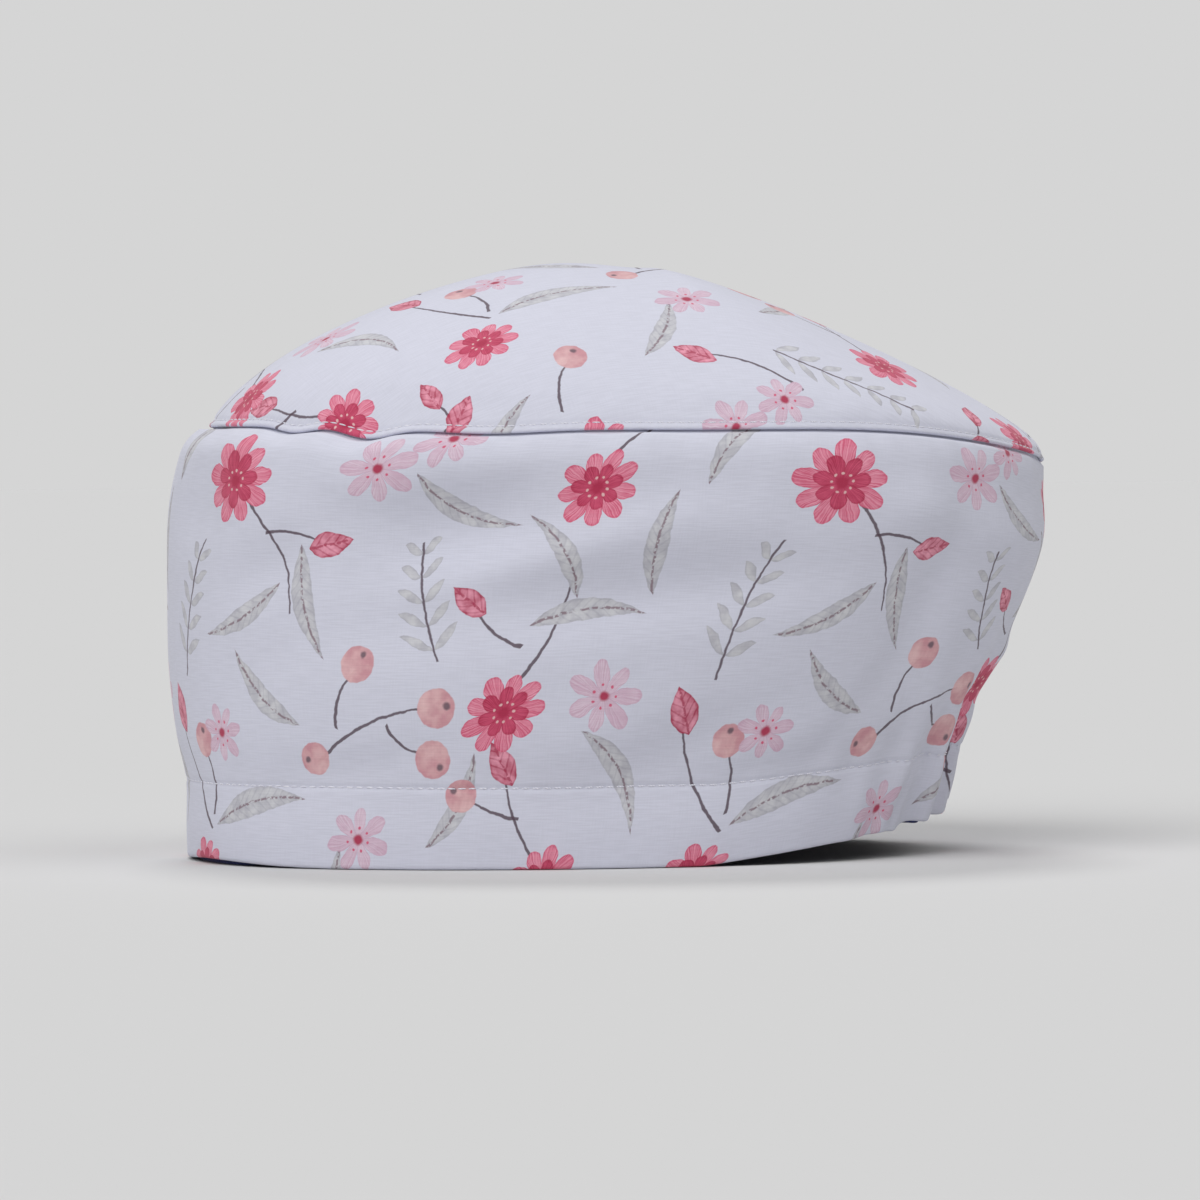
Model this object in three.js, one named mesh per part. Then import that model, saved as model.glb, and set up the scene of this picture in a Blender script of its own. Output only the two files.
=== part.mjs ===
// A printed scrub cap: an oval crown sewn to a tall side band, which is gathered at the back of its
// hem and faced inside with a plain navy band. It stands on its hem as it would on a table, with its
// front towards -X and its gathered back towards +X. Millimetres, +Z up. The origin is the middle of
// the cap's box, on the table.

import * as THREE from 'three';

// Driving dimensions.
const CLOTH = 1.2;            // thickness of the sewn and pressed cloth
const HEM_CLOTH = 2.0;        // thickness of the hem, which is folded double
const HEM_DEPTH = 20;         // from the bottom edge up to the hem's stitching
const SEAM_RUN = 116;         // along the cloth from the bottom edge to the crown seam
const CROWN_RUN = 124;        // along the cloth from the crown seam to the crown's middle
const CROWN_LIP = 0.9;        // how far the crown's turned edge comes down over the side band
const SEAM_ALLOWANCE = 8;     // how far the side band runs on under the crown
const TUCK_START = 111.5;     // where the side band starts to go in under the crown's edge
const LAYER_GAP = 0.35;       // clearance between the side band and the crown over it
const BAND_TOP = 23;          // top of the inner band, along the cloth
const BAND_BOTTOM = 1.6;      // bottom of the inner band where it doesn't peep out
const BAND_CLOTH = 1.0;
const BAND_GAP = 0.45;        // clearance between the hem and the inner band
const CENTRE_SHIFT = -0.8;    // moves the cap's box onto the origin

// The oval sections. run is the distance along the cloth, centre is the section's middle along X,
// long and wide are its half sizes, side, front and back are its heights there, and spread says how
// late the height turns to the back's.
const SEAM_SECTION = {
  centre: 6.5, long: 111, wide: 85, side: 112.5, front: 114.5, back: 102.5, spread: 2.8,
};
const WALL_SECTIONS = [
  { run: 0, centre: -11.5, long: 101, wide: 77, side: 0, front: 0, back: 10, spread: 1.15 },
  { run: HEM_DEPTH, centre: -9, long: 104.5, wide: 80.5, side: 20, front: 20.5, back: 28, spread: 1.2 },
  { run: 45, centre: -6.5, long: 109.5, wide: 86, side: 45, front: 46, back: 49, spread: 1.4 },
  { run: 75, centre: -1.5, long: 115, wide: 90.5, side: 75, front: 76, back: 72, spread: 1.7 },
  { run: 97, centre: 1, long: 116, wide: 91.5, side: 95.5, front: 97, back: 88, spread: 2 },
  { run: 108, centre: 3, long: 114, wide: 89.5, side: 105.5, front: 107.5, back: 97, spread: 2.4 },
  { run: SEAM_RUN, ...SEAM_SECTION },
];
const CROWN_SECTIONS = [
  { run: 0, ...SEAM_SECTION },
  { run: 6, centre: 7, long: 108, wide: 81.5, side: 117.8, front: 119, back: 106.8, spread: 2.3 },
  { run: 16, centre: 6.5, long: 100.5, wide: 75.5, side: 124, front: 125.5, back: 113.2, spread: 1.9 },
  { run: 45, centre: 6, long: 75, wide: 55, side: 139.5, front: 140.3, back: 127.6, spread: 1.6 },
  { run: 80, centre: 7, long: 43, wide: 31.5, side: 150.5, front: 152, back: 141.6, spread: 1.5 },
  { run: 104, centre: 7, long: 20, wide: 15, side: 154, front: 155.8, back: 150, spread: 1.4 },
  { run: CROWN_RUN, centre: 7, long: 0, wide: 0, side: 154.4, front: 154.4, back: 154.4, spread: 1.4 },
];
const OVAL_POWER = 2.15;      // 2 gives an ellipse, and more is squarer
const BACK_FULLNESS = 0.05;   // how much wider the back half is than the front half
const BACK_START = 0.2;       // cosine of the angle where the height starts to turn to the back's

// The folds of the side band. angle is in degrees about +Z from the back, run is along the cloth,
// slope is the fold's tilt in degrees, length and width are its half sizes in millimetres, and depth
// is how far it stands out, or sinks in when it is negative.
const FOLDS = [
  { name: 'front shoulder hollow', angle: -130, run: 97, slope: 10, length: 30, width: 8, depth: -3.6 },
  { name: 'front tip hollow', angle: -171, run: 103, slope: 0, length: 12, width: 6, depth: -2 },
  { name: 'front dimple', angle: -154, run: 80, slope: 30, length: 14, width: 8, depth: -1.6 },
  { name: 'long ridge', angle: -119, run: 77, slope: 16, length: 34, width: 6, depth: 1.6 },
  { name: 'long hollow', angle: -104, run: 72, slope: 9, length: 60, width: 9, depth: -2 },
  { name: 'low ridge', angle: -104, run: 30, slope: 27, length: 26, width: 8, depth: 1.8 },
  { name: 'low hollow', angle: -84, run: 30, slope: 24, length: 24, width: 9, depth: -1.6 },
  { name: 'back side hollow', angle: -47, run: 62, slope: 80, length: 30, width: 9, depth: -2.2 },
  { name: 'back side ridge', angle: -33, run: 42, slope: 70, length: 18, width: 8, depth: 1.6 },
  { name: 'far front hollow', angle: 138, run: 95, slope: -6, length: 28, width: 8, depth: -3 },
  { name: 'far long hollow', angle: 96, run: 70, slope: -12, length: 46, width: 9, depth: -2 },
  { name: 'far low ridge', angle: 112, run: 38, slope: -24, length: 28, width: 8, depth: 1.6 },
  { name: 'far back hollow', angle: 50, run: 60, slope: -78, length: 28, width: 9, depth: -2 },
  { name: 'back drape hollow', angle: 12, run: 74, slope: 64, length: 22, width: 9, depth: -1.6 },
];
// Where the crown seam sags: the angle, half width in degrees, and how far down.
const SEAM_SAGS = [
  { angle: -158, width: 4, drop: 1.6 },
  { angle: -146, width: 5, drop: 2.8 },
  { angle: -129, width: 12, drop: 1.4 },
  { angle: 142, width: 8, drop: 2 },
  { angle: 70, width: 12, drop: 1.2 },
];
const SAG_REACH = 14;         // how far from the seam a sag is felt, along the cloth
// Where the printed hem rides up and the inner band shows under it: angle, half width, and how far.
const PEEPS = [
  { angle: -171, width: 15, rise: 1.3 },
  { angle: -31, width: 6, rise: 2.4 },
];
const SEAM_ROLL = 1.1;        // how far the side band swells out just under the crown seam
const SEAM_ROLL_RUN = 109;
const SEAM_ROLL_WIDTH = 5;

// The gathers that the elastic makes at the back of the hem.
const PLEATS_PER_TURN = 36;
const PLEAT_DEPTH = 1.6;      // half the height from valley to crest
const PLEAT_INSET = 0.6;      // how far the valleys go in more than the crests come out, as a share
const PLEAT_FULL_ANGLE = 28;  // degrees from the back where the gathers are full
const PLEAT_END_ANGLE = 58;   // and where they have run out
const PLEAT_FULL_RUN = 18;
const PLEAT_END_RUN = 64;

// How finely the surfaces are cut: close columns across the gathers, wider ones elsewhere.
const FINE_STEP = 2.5;
const FINE_END = 60;
const COARSE_COLUMNS = 46;
const WALL_RUNS = [10, HEM_DEPTH, BAND_TOP, 33, 45, 57, 69, 80, 90, 98, 104, 109, 113, 115];
const CROWN_RUNS = [0, 4, 8, 17, 31, 50, 74, 99];
const BAND_RUNS = [10, HEM_DEPTH];

// A natural cubic curve through the values that the sections give at their runs.
class Profile {
  constructor(runs, values) {
    this.runs = runs;
    this.values = values;
    const last = runs.length - 1;
    this.bend = new Array(runs.length).fill(0);
    const carry = new Array(runs.length).fill(0);
    for (let i = 1; i < last; i++) {
      const share = (runs[i] - runs[i - 1]) / (runs[i + 1] - runs[i - 1]);
      const pivot = share * this.bend[i - 1] + 2;
      const rise = (values[i + 1] - values[i]) / (runs[i + 1] - runs[i])
        - (values[i] - values[i - 1]) / (runs[i] - runs[i - 1]);
      this.bend[i] = (share - 1) / pivot;
      carry[i] = (6 * rise / (runs[i + 1] - runs[i - 1]) - share * carry[i - 1]) / pivot;
    }
    this.bend[last] = 0;
    for (let i = last - 1; i >= 0; i--) this.bend[i] = this.bend[i] * this.bend[i + 1] + carry[i];
  }

  at(run) {
    const { runs, values, bend } = this;
    let i = runs.length - 2;
    while (i > 0 && run < runs[i]) i--;
    const step = runs[i + 1] - runs[i];
    const after = (run - runs[i]) / step;
    const before = 1 - after;
    return before * values[i] + after * values[i + 1]
      + ((before ** 3 - before) * bend[i] + (after ** 3 - after) * bend[i + 1]) * step * step / 6;
  }
}

const COLUMNS = ['centre', 'long', 'wide', 'side', 'front', 'back', 'spread'];

function profilesOf(sections) {
  const runs = sections.map((row) => row.run);
  const profileOf = (key) => new Profile(runs, sections.map((row) => row[key]));
  return Object.fromEntries(COLUMNS.map((key) => [key, profileOf(key)]));
}

const WALL = profilesOf(WALL_SECTIONS);
const CROWN = profilesOf(CROWN_SECTIONS);

function smooth(from, to, value) {
  return THREE.MathUtils.smoothstep(value, from, to);
}

function bell(offset, halfWidth) {
  return Math.exp(-((offset / halfWidth) ** 2));
}

// The shortest way from one angle to another, in degrees.
function turnBetween(from, to) {
  return THREE.MathUtils.euclideanModulo(to - from + 180, 360) - 180;
}

// How far the crown seam sags at an angle.
function seamSag(degrees) {
  let sag = 0;
  for (const row of SEAM_SAGS) sag += row.drop * bell(turnBetween(row.angle, degrees), row.width);
  return sag;
}

// The smooth oval surface of the side band or the crown, before folds.
function smoothPoint(profiles, degrees, run, fromSeam) {
  const angle = THREE.MathUtils.degToRad(degrees);
  const cosine = Math.cos(angle);
  const sine = Math.sin(angle);
  const length = Math.max(profiles.long.at(run), 0);
  const width = Math.max(profiles.wide.at(run), 0) * (1 + BACK_FULLNESS * cosine);
  let radius = 0;
  if (length > 0 && width > 0) {
    const across = (Math.abs(cosine) / length) ** OVAL_POWER + (Math.abs(sine) / width) ** OVAL_POWER;
    radius = across ** (-1 / OVAL_POWER);
  }
  const side = profiles.side.at(run);
  const towardsFront = Math.max(-cosine, 0) ** 2;
  const towardsBack = Math.max((cosine - BACK_START) / (1 - BACK_START), 0) ** profiles.spread.at(run);
  const height = side + (profiles.front.at(run) - side) * towardsFront
    + (profiles.back.at(run) - side) * towardsBack;
  const sag = seamSag(degrees) * bell(fromSeam, SAG_REACH);
  return new THREE.Vector3(profiles.centre.at(run) + radius * cosine, radius * sine, height - sag);
}

function wallPoint(degrees, run) {
  return smoothPoint(WALL, degrees, run, SEAM_RUN - run);
}

function crownPoint(degrees, run) {
  return smoothPoint(CROWN, degrees, run, run);
}

// The direction in which a surface faces, away from the head.
function facing(surface, degrees, run) {
  const turn = surface(degrees + 0.5, run).sub(surface(degrees - 0.5, run));
  const climb = surface(degrees, run + 0.5).sub(surface(degrees, run - 0.5));
  const normal = turn.cross(climb);
  return normal.lengthSq() < 1e-9 ? new THREE.Vector3(0, 0, 1) : normal.normalize();
}

// How far the gathers stand out from the side band.
function pleat(degrees, run) {
  const around = 1 - smooth(PLEAT_FULL_ANGLE, PLEAT_END_ANGLE, Math.abs(turnBetween(0, degrees)));
  const up = 1 - smooth(PLEAT_FULL_RUN, PLEAT_END_RUN, run);
  const wave = Math.cos(THREE.MathUtils.degToRad(degrees * PLEATS_PER_TURN));
  return PLEAT_DEPTH * around * up * (wave - PLEAT_INSET);
}

// How far the folds, gathers and seam roll stand out from the side band.
function wallRelief(degrees, run) {
  let relief = pleat(degrees, run) + SEAM_ROLL * bell(run - SEAM_ROLL_RUN, SEAM_ROLL_WIDTH);
  for (const fold of FOLDS) {
    const middle = wallPoint(fold.angle, fold.run);
    const reach = Math.hypot(middle.x, middle.y);
    const along = THREE.MathUtils.degToRad(turnBetween(fold.angle, degrees)) * reach;
    const up = run - fold.run;
    const slope = THREE.MathUtils.degToRad(fold.slope);
    const lengthwise = along * Math.cos(slope) + up * Math.sin(slope);
    const crosswise = up * Math.cos(slope) - along * Math.sin(slope);
    relief += fold.depth * bell(lengthwise, fold.length) * bell(crosswise, fold.width);
  }
  return relief;
}

// A point of the side band, inwards by a depth. From the seam on it lies under the crown.
function wallLayer(degrees, run, depth) {
  if (run >= SEAM_RUN) {
    const under = CLOTH + LAYER_GAP + depth;
    const crownRun = run - SEAM_RUN;
    return crownPoint(degrees, crownRun).addScaledVector(facing(crownPoint, degrees, crownRun), -under);
  }
  const tucked = smooth(TUCK_START, SEAM_RUN - CROWN_LIP, run);
  const out = wallRelief(degrees, run) * (1 - tucked) - (CLOTH + LAYER_GAP) * tucked - depth;
  return wallPoint(degrees, run).addScaledVector(facing(wallPoint, degrees, run), out);
}

// A point of the crown, inwards by a depth. Past its edge it lies on the side band.
function crownLayer(degrees, run, depth) {
  const [surface, at] = run < 0 ? [wallPoint, SEAM_RUN + run] : [crownPoint, run];
  return surface(degrees, at).addScaledVector(facing(surface, degrees, at), -depth);
}

// How far the printed hem rides up off the table and shows the inner band.
function hemRise(degrees) {
  let rise = 0;
  for (const row of PEEPS) rise += row.rise * bell(turnBetween(row.angle, degrees), row.width);
  return rise;
}

// A point of a bottom edge, which is level across the thickness of the cloth.
function edgePoint(degrees, run, depth) {
  const point = wallLayer(degrees, run, depth);
  const climb = wallLayer(degrees, run + 1, depth).sub(point);
  return point.addScaledVector(climb, (wallPoint(degrees, run).z - point.z) / climb.z);
}

// The column angles, in degrees: every FINE_STEP across the back and evenly over the rest.
function columnAngles() {
  const angles = [];
  for (let angle = -FINE_END; angle < FINE_END; angle += FINE_STEP) angles.push(angle);
  const rest = 360 - 2 * FINE_END;
  for (let i = 0; i < COARSE_COLUMNS; i++) angles.push(FINE_END + rest * i / COARSE_COLUMNS);
  return angles;
}

const ANGLES = columnAngles();

// A closed body from rings of points, each with one point for each column. The last ring joins the
// first, unless the body has poles: then each end closes on its own point.
function bodyOfRings(rings, poles) {
  const count = ANGLES.length;
  const positions = rings.flat().flatMap((point) => point.toArray());
  const index = [];
  const bands = poles ? rings.length - 1 : rings.length;
  for (let ring = 0; ring < bands; ring++) {
    const low = ring * count;
    const high = ((ring + 1) % rings.length) * count;
    for (let i = 0; i < count; i++) {
      const next = (i + 1) % count;
      index.push(low + i, low + next, high + next, low + i, high + next, high + i);
    }
  }
  if (poles) {
    const first = rings.length * count;
    positions.push(...poles.first.toArray(), ...poles.last.toArray());
    const end = (rings.length - 1) * count;
    for (let i = 0; i < count; i++) {
      const next = (i + 1) % count;
      index.push(first, next, i, first + 1, end + i, end + next);
    }
  }
  const geometry = new THREE.BufferGeometry();
  geometry.setAttribute('position', new THREE.Float32BufferAttribute(positions, 3));
  geometry.setIndex(index);
  geometry.computeVertexNormals();
  return geometry;
}

function ring(pointAt) {
  return ANGLES.map((degrees) => pointAt(degrees));
}

// The side band: up the outside, round its top edge under the crown, and down the inside.
function sideBandGeometry() {
  const runs = [...WALL_RUNS, SEAM_RUN, SEAM_RUN + SEAM_ALLOWANCE / 2, SEAM_RUN + SEAM_ALLOWANCE];
  const thickness = (run) => THREE.MathUtils.lerp(HEM_CLOTH, CLOTH, smooth(HEM_DEPTH, BAND_TOP, run));
  const bottom = (depth) => ring((degrees) => edgePoint(degrees, hemRise(degrees), depth));
  const outside = runs.map((run) => ring((degrees) => wallLayer(degrees, run, 0)));
  const inside = runs.map((run) => ring((degrees) => wallLayer(degrees, run, thickness(run))));
  return bodyOfRings([bottom(0), ...outside, ...inside.reverse(), bottom(HEM_CLOTH)], null);
}

// The crown: from its pole down the outside to its turned edge, and back up the inside.
function crownGeometry() {
  const runs = [-CROWN_LIP, ...CROWN_RUNS];
  const outside = runs.map((run) => ring((degrees) => crownLayer(degrees, run, 0)));
  const inside = runs.map((run) => ring((degrees) => crownLayer(degrees, run, CLOTH)));
  const pole = crownPoint(0, CROWN_RUN);
  const poles = { first: pole.clone().setZ(pole.z - CLOTH), last: pole };
  return bodyOfRings([...inside.reverse(), ...outside], poles);
}

// The navy facing inside the hem.
function innerBandGeometry() {
  const near = HEM_CLOTH + BAND_GAP;
  const far = near + BAND_CLOTH;
  const hidden = (degrees) => BAND_BOTTOM * (1 - Math.min(hemRise(degrees), 1));
  const bottom = (depth) => ring((degrees) => edgePoint(degrees, hidden(degrees), depth));
  const runs = [...BAND_RUNS, BAND_TOP];
  const outside = runs.map((run) => ring((degrees) => wallLayer(degrees, run, near)));
  const inside = runs.map((run) => ring((degrees) => wallLayer(degrees, run, far)));
  return bodyOfRings([bottom(near), ...outside, ...inside.reverse(), bottom(far)], null);
}

const printedCloth = new THREE.MeshStandardMaterial({ color: 0xd4d5e2, roughness: 0.9, metalness: 0 });
const crownCloth = new THREE.MeshStandardMaterial({ color: 0xdadbe6, roughness: 0.9, metalness: 0 });
const navyCloth = new THREE.MeshStandardMaterial({ color: 0x222850, roughness: 0.92, metalness: 0 });

const group = new THREE.Group();

function addPiece(name, geometry, material) {
  const piece = new THREE.Mesh(geometry, material);
  piece.name = name;
  group.add(piece);
}

addPiece('side_band', sideBandGeometry(), printedCloth);
addPiece('crown', crownGeometry(), crownCloth);
addPiece('inner_band', innerBandGeometry(), navyCloth);
group.position.x = CENTRE_SHIFT;

export default group;
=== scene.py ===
"""Dresses a printed scrub cap: an oval crown sewn to a tall side band, with a navy band inside the hem.

The cap stands on its hem with its front towards -X. Its cloth is worked out from the same oval sections
as the solids, at a finer step, and then creased, stitched, printed and lit. Tables are in millimetres.
"""
import logging
import math
from dataclasses import dataclass
from enum import Enum
from typing import Any, Callable, Iterator, Sequence

import bpy
import numpy as np
from bpy.types import ID, Material, Node, NodeSocket, NodeTree, Object, World
from mathutils import Matrix, Vector, noise


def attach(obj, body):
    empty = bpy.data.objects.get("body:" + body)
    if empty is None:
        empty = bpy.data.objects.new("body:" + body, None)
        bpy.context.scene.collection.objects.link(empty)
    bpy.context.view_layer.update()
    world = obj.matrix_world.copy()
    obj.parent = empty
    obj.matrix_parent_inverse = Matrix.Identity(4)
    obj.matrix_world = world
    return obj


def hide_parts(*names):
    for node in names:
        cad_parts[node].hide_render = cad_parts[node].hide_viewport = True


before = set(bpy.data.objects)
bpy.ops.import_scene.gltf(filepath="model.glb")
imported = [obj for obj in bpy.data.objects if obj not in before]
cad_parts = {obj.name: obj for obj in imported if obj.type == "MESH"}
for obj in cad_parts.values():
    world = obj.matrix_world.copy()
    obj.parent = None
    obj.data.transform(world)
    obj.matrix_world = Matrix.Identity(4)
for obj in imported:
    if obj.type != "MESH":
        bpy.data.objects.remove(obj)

log = logging.getLogger("scrub_cap")

MM = 0.001
CAP_BODY = "root"

# The cap's form, in millimetres. A run is a distance along the cloth, from the hem's edge up the
# side band, or from the seam up the crown. Angles are in degrees from the back of the cap.
CLOTH = 1.2
HEM_CLOTH = 2.0
HEM_DEPTH = 20.0
SEAM_RUN = 116.0
CROWN_RUN = 124.0
CROWN_LIP = 0.9               # how far the crown's edge comes down past the seam
SEAM_ALLOWANCE = 8.0
TUCK_START = 113.2            # where the side band starts to go in under the crown
LAYER_GAP = 0.35
BAND_TOP = 23.0
BAND_BOTTOM = 1.6
BAND_CLOTH = 1.0
BAND_GAP = 0.45
CENTRE_SHIFT = -0.8           # how far the cap is moved along X
OVAL_POWER = 2.15             # 2 gives an ellipse, and more a squarer oval
BACK_FULLNESS = 0.05          # how much wider the ovals are towards the back, as a share
BACK_START = 0.2              # where the back's heights start to tell, as the angle's cosine
SAG_REACH = 14.0
SEAM_ROLL = 1.1               # how far the cloth rolls out just under the seam
SEAM_ROLL_RUN = 109.0
SEAM_ROLL_WIDTH = 5.0
PLEATS_PER_TURN = 36
PLEAT_DEPTH = 1.6
PLEAT_INSET = 0.6
PLEAT_FULL_ANGLE = 28.0
PLEAT_END_ANGLE = 58.0
PLEAT_FULL_RUN = 18.0
PLEAT_END_RUN = 64.0
TOPSTITCH_RUN = 0.9           # about 2 mm above the crown's edge
HEM_STITCH_RUN = 20.3
STITCH_RISE = 0.05            # how far over the cloth the middle of a stitch lies
HEM_LIFT_RUN = 14.0           # how far up the cloth a lifted place in the hem is felt

# How the cloth is meshed and where the print lies on it.
COLUMNS = 540                 # columns of mesh round the cap
HEM_EDGE_STEPS = 8
EDGE_STEPS = 6
REPEATS_ROUND = 4             # repeats of the print round the cap
GIRTH_RUN = 62.0              # where the side band is measured for the print
CROWN_PRINT = (69.5, 53.0)    # the place on the print at the middle of the crown
SLOPE_STEP = 0.5              # how far to each side a surface's slope is read
LEAST_HALF_SIZE = 1e-6
LEAST_LENGTH = 1e-9


@dataclass(frozen=True)
class Section:
    """One oval section: its place along the cloth, middle, half sizes, heights and turn to the back."""

    run: float
    centre: float
    long: float
    wide: float
    side: float
    front: float
    back: float
    spread: float


@dataclass(frozen=True)
class Fold:
    """A fold of the side band: where it lies, its slope in degrees, its half sizes and its depth."""

    angle: float
    run: float
    slope: float
    length: float
    width: float
    depth: float


@dataclass(frozen=True)
class Bump:
    """A place round the cap: its angle, its half width in degrees and how far it moves the edge."""

    angle: float
    width: float
    size: float


# The oval at the seam belongs to the side band and the crown alike.
SEAM_SIZES = (6.5, 111, 85, 112.5, 114.5, 102.5, 2.8)
WALL_SECTIONS = (
    Section(0, -11.5, 101, 77, 0, 0, 10, 1.15),
    Section(HEM_DEPTH, -9, 104.5, 80.5, 20, 20.5, 28, 1.2),
    Section(45, -6.5, 109.5, 86, 45, 46, 49, 1.4),
    Section(75, -1.5, 115, 90.5, 75, 76, 72, 1.7),
    Section(97, 1, 116, 91.5, 95.5, 97, 88, 2),
    Section(108, 3, 114, 89.5, 105.5, 107.5, 97, 2.4),
    Section(SEAM_RUN, *SEAM_SIZES),
)
CROWN_SECTIONS = (
    Section(0, *SEAM_SIZES),
    Section(6, 7, 108, 81.5, 117.8, 119, 106.8, 2.3),
    Section(16, 6.5, 100.5, 75.5, 124, 125.5, 113.2, 1.9),
    Section(45, 6, 75, 55, 139.5, 140.3, 127.6, 1.6),
    Section(80, 7, 43, 31.5, 150.5, 152, 141.6, 1.5),
    Section(104, 7, 20, 15, 154, 155.8, 150, 1.4),
    Section(CROWN_RUN, 7, 0, 0, 154.4, 154.4, 154.4, 1.4),
)
# Each row gives a fold's angle, run, slope, half length, half width and depth. The solids have FOLDS too.
FOLDS = tuple(Fold(*row) for row in (
    (-130, 97, 10, 30, 8, -3.6), (-171, 103, 0, 12, 6, -2), (-154, 80, 30, 14, 8, -1.6),
    (-119, 77, 16, 34, 6, 1.6), (-104, 72, 9, 60, 9, -2), (-104, 30, 27, 26, 8, 1.8),
    (-84, 30, 24, 24, 9, -1.6), (-47, 62, 80, 30, 9, -2.2), (-33, 42, 70, 18, 8, 1.6),
    (138, 95, -6, 28, 8, -3), (96, 70, -12, 46, 9, -2), (112, 38, -24, 28, 8, 1.6),
    (50, 60, -78, 28, 9, -2), (12, 74, 64, 22, 9, -1.6),
))
FINE_FOLDS = tuple(Fold(*row) for row in (
    (-131, 98, 8, 29, 7.5, 1.9), (-128, 86, 8, 34, 12.5, -7.0), (-112, 50, 0, 75, 26, -3.0),
    (-136, 70, 12, 30, 13, -2.6), (-100, 66, 9, 56, 8, -2.0), (-171, 104, 0, 12, 6, 1.4),
    (-171, 91, 0, 16, 9, -3.0), (-157, 73, 10, 22, 8, -1.6), (-48, 72, 84, 26, 8, -1.5),
    (-104, 30, 27, 26, 8, -1.4), (-55, 66, 84, 20, 10, -1.4), (-32, 88, 0, 24, 9, 2.0),
    (-53, 93, 0, 16, 9, 2.2), (-38, 17, 0, 14, 8, 1.6), (-14, 109, 0, 26, 5.5, -1.1),
    (-14, 50, 0, 16, 6, 1.7), (-14, 35, 0, 16, 5, -1.6), (-150, 96, -14, 12, 6, -1.0),
    (-98, 97, 4, 24, 7, -1.0), (-70, 92, -6, 22, 8, -1.1), (-160, 47, 34, 20, 8, -0.8),
    (-140, 26, 12, 26, 5, -0.7), (-75, 22, 8, 24, 4.5, -0.6), (-57, 33, 60, 16, 5, -0.8),
    (-39, 10, 84, 13, 2.4, -1.9), (-31.5, 14, 96, 15, 2.4, 1.7), (-26, 26, 116, 14, 2.8, -2.4),
    (-22, 8, 88, 12, 2.6, -1.9), (150, 90, 12, 26, 8, -1.2), (80, 94, -8, 24, 7, -1.1),
    (60, 28, 22, 24, 6, -0.9), (28, 12, 84, 13, 3, -1.1),
))
SEAM_SAGS = tuple(Bump(*row) for row in (
    (-158, 4, 1.6), (-146, 5, 2.8), (-129, 12, 1.4), (142, 8, 2), (70, 12, 1.2)))
HEM_PEEPS = (Bump(-171, 15, 1.3), Bump(-32, 5, 1.2))
HEM_LIFTS = (Bump(-13, 5.5, 4.2), Bump(-36.5, 2.5, -1.2))


def smooth(start: float, end: float, value: np.ndarray) -> np.ndarray:
    """Eases from 0 at start to 1 at end."""
    share = np.clip((value - start) / (end - start), 0, 1)
    return share * share * (3 - 2 * share)


def bell(offset: np.ndarray, half_width: float) -> np.ndarray:
    """1 at no offset, falling smoothly to nearly 0 past twice the half width."""
    return np.exp(-((offset / half_width) ** 2))


def turn_between(start: float, degrees: np.ndarray) -> np.ndarray:
    """The shortest way round from one angle to others, in degrees."""
    return np.mod(degrees - start + 180, 360) - 180


def bumps_at(bumps: Sequence[Bump], degrees: np.ndarray) -> np.ndarray:
    """How far a set of bumps moves an edge at the given angles."""
    return sum(bump.size * bell(turn_between(bump.angle, degrees), bump.width) for bump in bumps)


class Profile:
    """A natural cubic curve through the values that the sections give at their runs."""

    def __init__(self, runs: Sequence[float], values: Sequence[float]) -> None:
        """Works out how much the curve bends at each run."""
        self.runs = np.array(runs, float)
        self.values = np.array(values, float)
        steps = np.diff(self.runs)
        slopes = np.diff(self.values) / steps
        count = len(runs)
        matrix = np.eye(count)
        target = np.zeros(count)
        for i in range(1, count - 1):
            matrix[i, i - 1:i + 2] = steps[i - 1], 2 * (steps[i - 1] + steps[i]), steps[i]
            target[i] = 6 * (slopes[i] - slopes[i - 1])
        self.bend = np.linalg.solve(matrix, target)

    def at(self, run: np.ndarray) -> np.ndarray:
        """The curve's values at the given runs."""
        low = np.clip(np.searchsorted(self.runs, run, side="right") - 1, 0, len(self.runs) - 2)
        step = self.runs[low + 1] - self.runs[low]
        after = (run - self.runs[low]) / step
        before = 1 - after
        curved = (before ** 3 - before) * self.bend[low] + (after ** 3 - after) * self.bend[low + 1]
        return before * self.values[low] + after * self.values[low + 1] + curved * step * step / 6


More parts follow.
